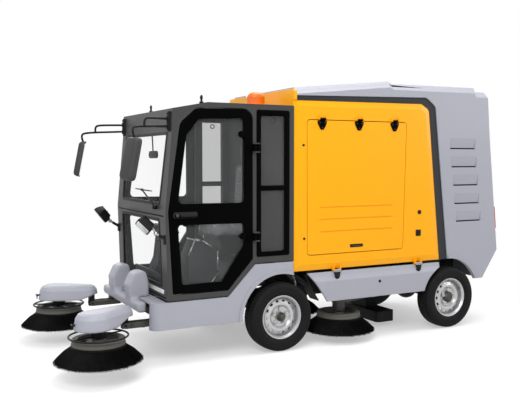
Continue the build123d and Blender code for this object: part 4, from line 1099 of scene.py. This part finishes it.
# Name, place, what it points at, size and power
LIGHTS = (
    ("key", (-4.5, -5.5, 5.5), (0, 0, 0.9), (4, 3), 330),
    ("overhead", (0.5, -0.5, 6.5), (0.2, 0, 0.6), (6, 4), 260),
    ("rear_fill", (6.5, -3.5, 3.5), (0.5, 0, 1), (4, 3), 110),
    ("far_fill", (0, 7, 4.5), (0, 0, 1), (5, 3), 160),
)
FLOOR_RADIUS = 30
FLOOR_DROP = 0.001
FADE_NEAR = 1.6
FADE_FAR = 3.4
WHITE_LIGHT = (1, 1, 1, 1)


def add_light(name, place, target, size, power):
    """White rectangular light that points at a target."""
    data = bpy.data.lights.new(name, "AREA")
    data.shape = "RECTANGLE"
    data.size, data.size_y = size
    data.energy = power
    lamp = bpy.data.objects.new(name, data)
    lamp.location = place
    lamp.rotation_euler = (Vector(target) - Vector(place)).to_track_quat("-Z", "Y").to_euler()
    bpy.context.collection.objects.link(lamp)


def seen_directly(tree):
    """Node of 1 for camera, glossy and transmission rays, and 0 for the light that falls on things."""
    path = add_node(tree, "LightPath")
    first = add_node(tree, "Math")
    first.operation = "MAXIMUM"
    join(tree, path, "Is Camera Ray", first, 0)
    join(tree, path, "Is Glossy Ray", first, 1)
    second = add_node(tree, "Math")
    second.operation = "MAXIMUM"
    join(tree, first, 0, second, 0)
    join(tree, path, "Is Transmission Ray", second, 1)
    return second


def floor_material():
    """Pale floor that takes shadows near the object, and plain white away from it."""
    made = bpy.data.materials.new("pale_floor")
    made.use_nodes = True
    tree = made.node_tree
    tree.nodes.clear()
    seen = seen_directly(tree)
    diffuse = add_node(tree, "BsdfDiffuse", Color=(0.62, 0.62, 0.62, 1))
    glow = add_node(tree, "Emission", Color=(0.42, 0.42, 0.42, 1))
    join(tree, seen, 0, glow, "Strength")
    pale = add_node(tree, "AddShader")
    join(tree, diffuse, 0, pale, 0)
    join(tree, glow, 0, pale, 1)
    place = add_node(tree, "NewGeometry")
    away = add_node(tree, "VectorMath")
    away.operation = "LENGTH"
    join(tree, place, "Position", away, 0)
    far = add_node(tree, "MapRange", From_Min=FADE_NEAR, From_Max=FADE_FAR)
    far.interpolation_type = "SMOOTHSTEP"
    join(tree, away, "Value", far, "Value")
    shown = add_node(tree, "Math")
    shown.operation = "MULTIPLY"
    join(tree, far, "Result", shown, 0)
    join(tree, seen, 0, shown, 1)
    white = add_node(tree, "Emission", Color=WHITE_LIGHT)
    blend = add_node(tree, "MixShader")
    join(tree, shown, 0, blend, "Fac")
    join(tree, pale, 0, blend, 1)
    join(tree, white, 0, blend, 2)
    join(tree, blend, 0, add_node(tree, "OutputMaterial"), "Surface")
    return made


def build_floor():
    """Round floor just under the wheels."""
    floor_mesh = bmesh.new()
    bmesh.ops.create_circle(floor_mesh, cap_ends=True, segments=96, radius=FLOOR_RADIUS)
    data = bpy.data.meshes.new("floor")
    floor_mesh.to_mesh(data)
    floor_mesh.free()
    data.materials.append(floor_material())
    floor = bpy.data.objects.new("floor", data)
    floor.location.z = -FLOOR_DROP
    bpy.context.collection.objects.link(floor)


def build_world():
    """White all round, of which about half lights the object."""
    world = bpy.data.worlds.new("soft_studio")
    bpy.context.scene.world = world
    world.use_nodes = True
    tree = world.node_tree
    tree.nodes.clear()
    fill = add_node(tree, "Background", Color=WHITE_LIGHT, Strength=0.55)
    white = add_node(tree, "Background", Color=WHITE_LIGHT, Strength=1.0)
    mix = add_node(tree, "MixShader")
    join(tree, seen_directly(tree), 0, mix, "Fac")
    join(tree, fill, 0, mix, 1)
    join(tree, white, 0, mix, 2)
    join(tree, mix, 0, add_node(tree, "OutputWorld"), "Surface")


def build_camera():
    """Camera where the photo was taken from."""
    data = bpy.data.cameras.new("camera")
    data.sensor_width = 36
    data.lens = 49.14
    camera = bpy.data.objects.new("camera", data)
    camera.location = (-3.325, -5.943, 1.653)
    camera.rotation_euler = (math.radians(86.818), 0, math.radians(-27.972))
    bpy.context.collection.objects.link(camera)
    bpy.context.scene.camera = camera


build_floor()
build_world()
for light in LIGHTS:
    add_light(*light)
build_camera()
bpy.context.scene.view_settings.view_transform = "Standard"
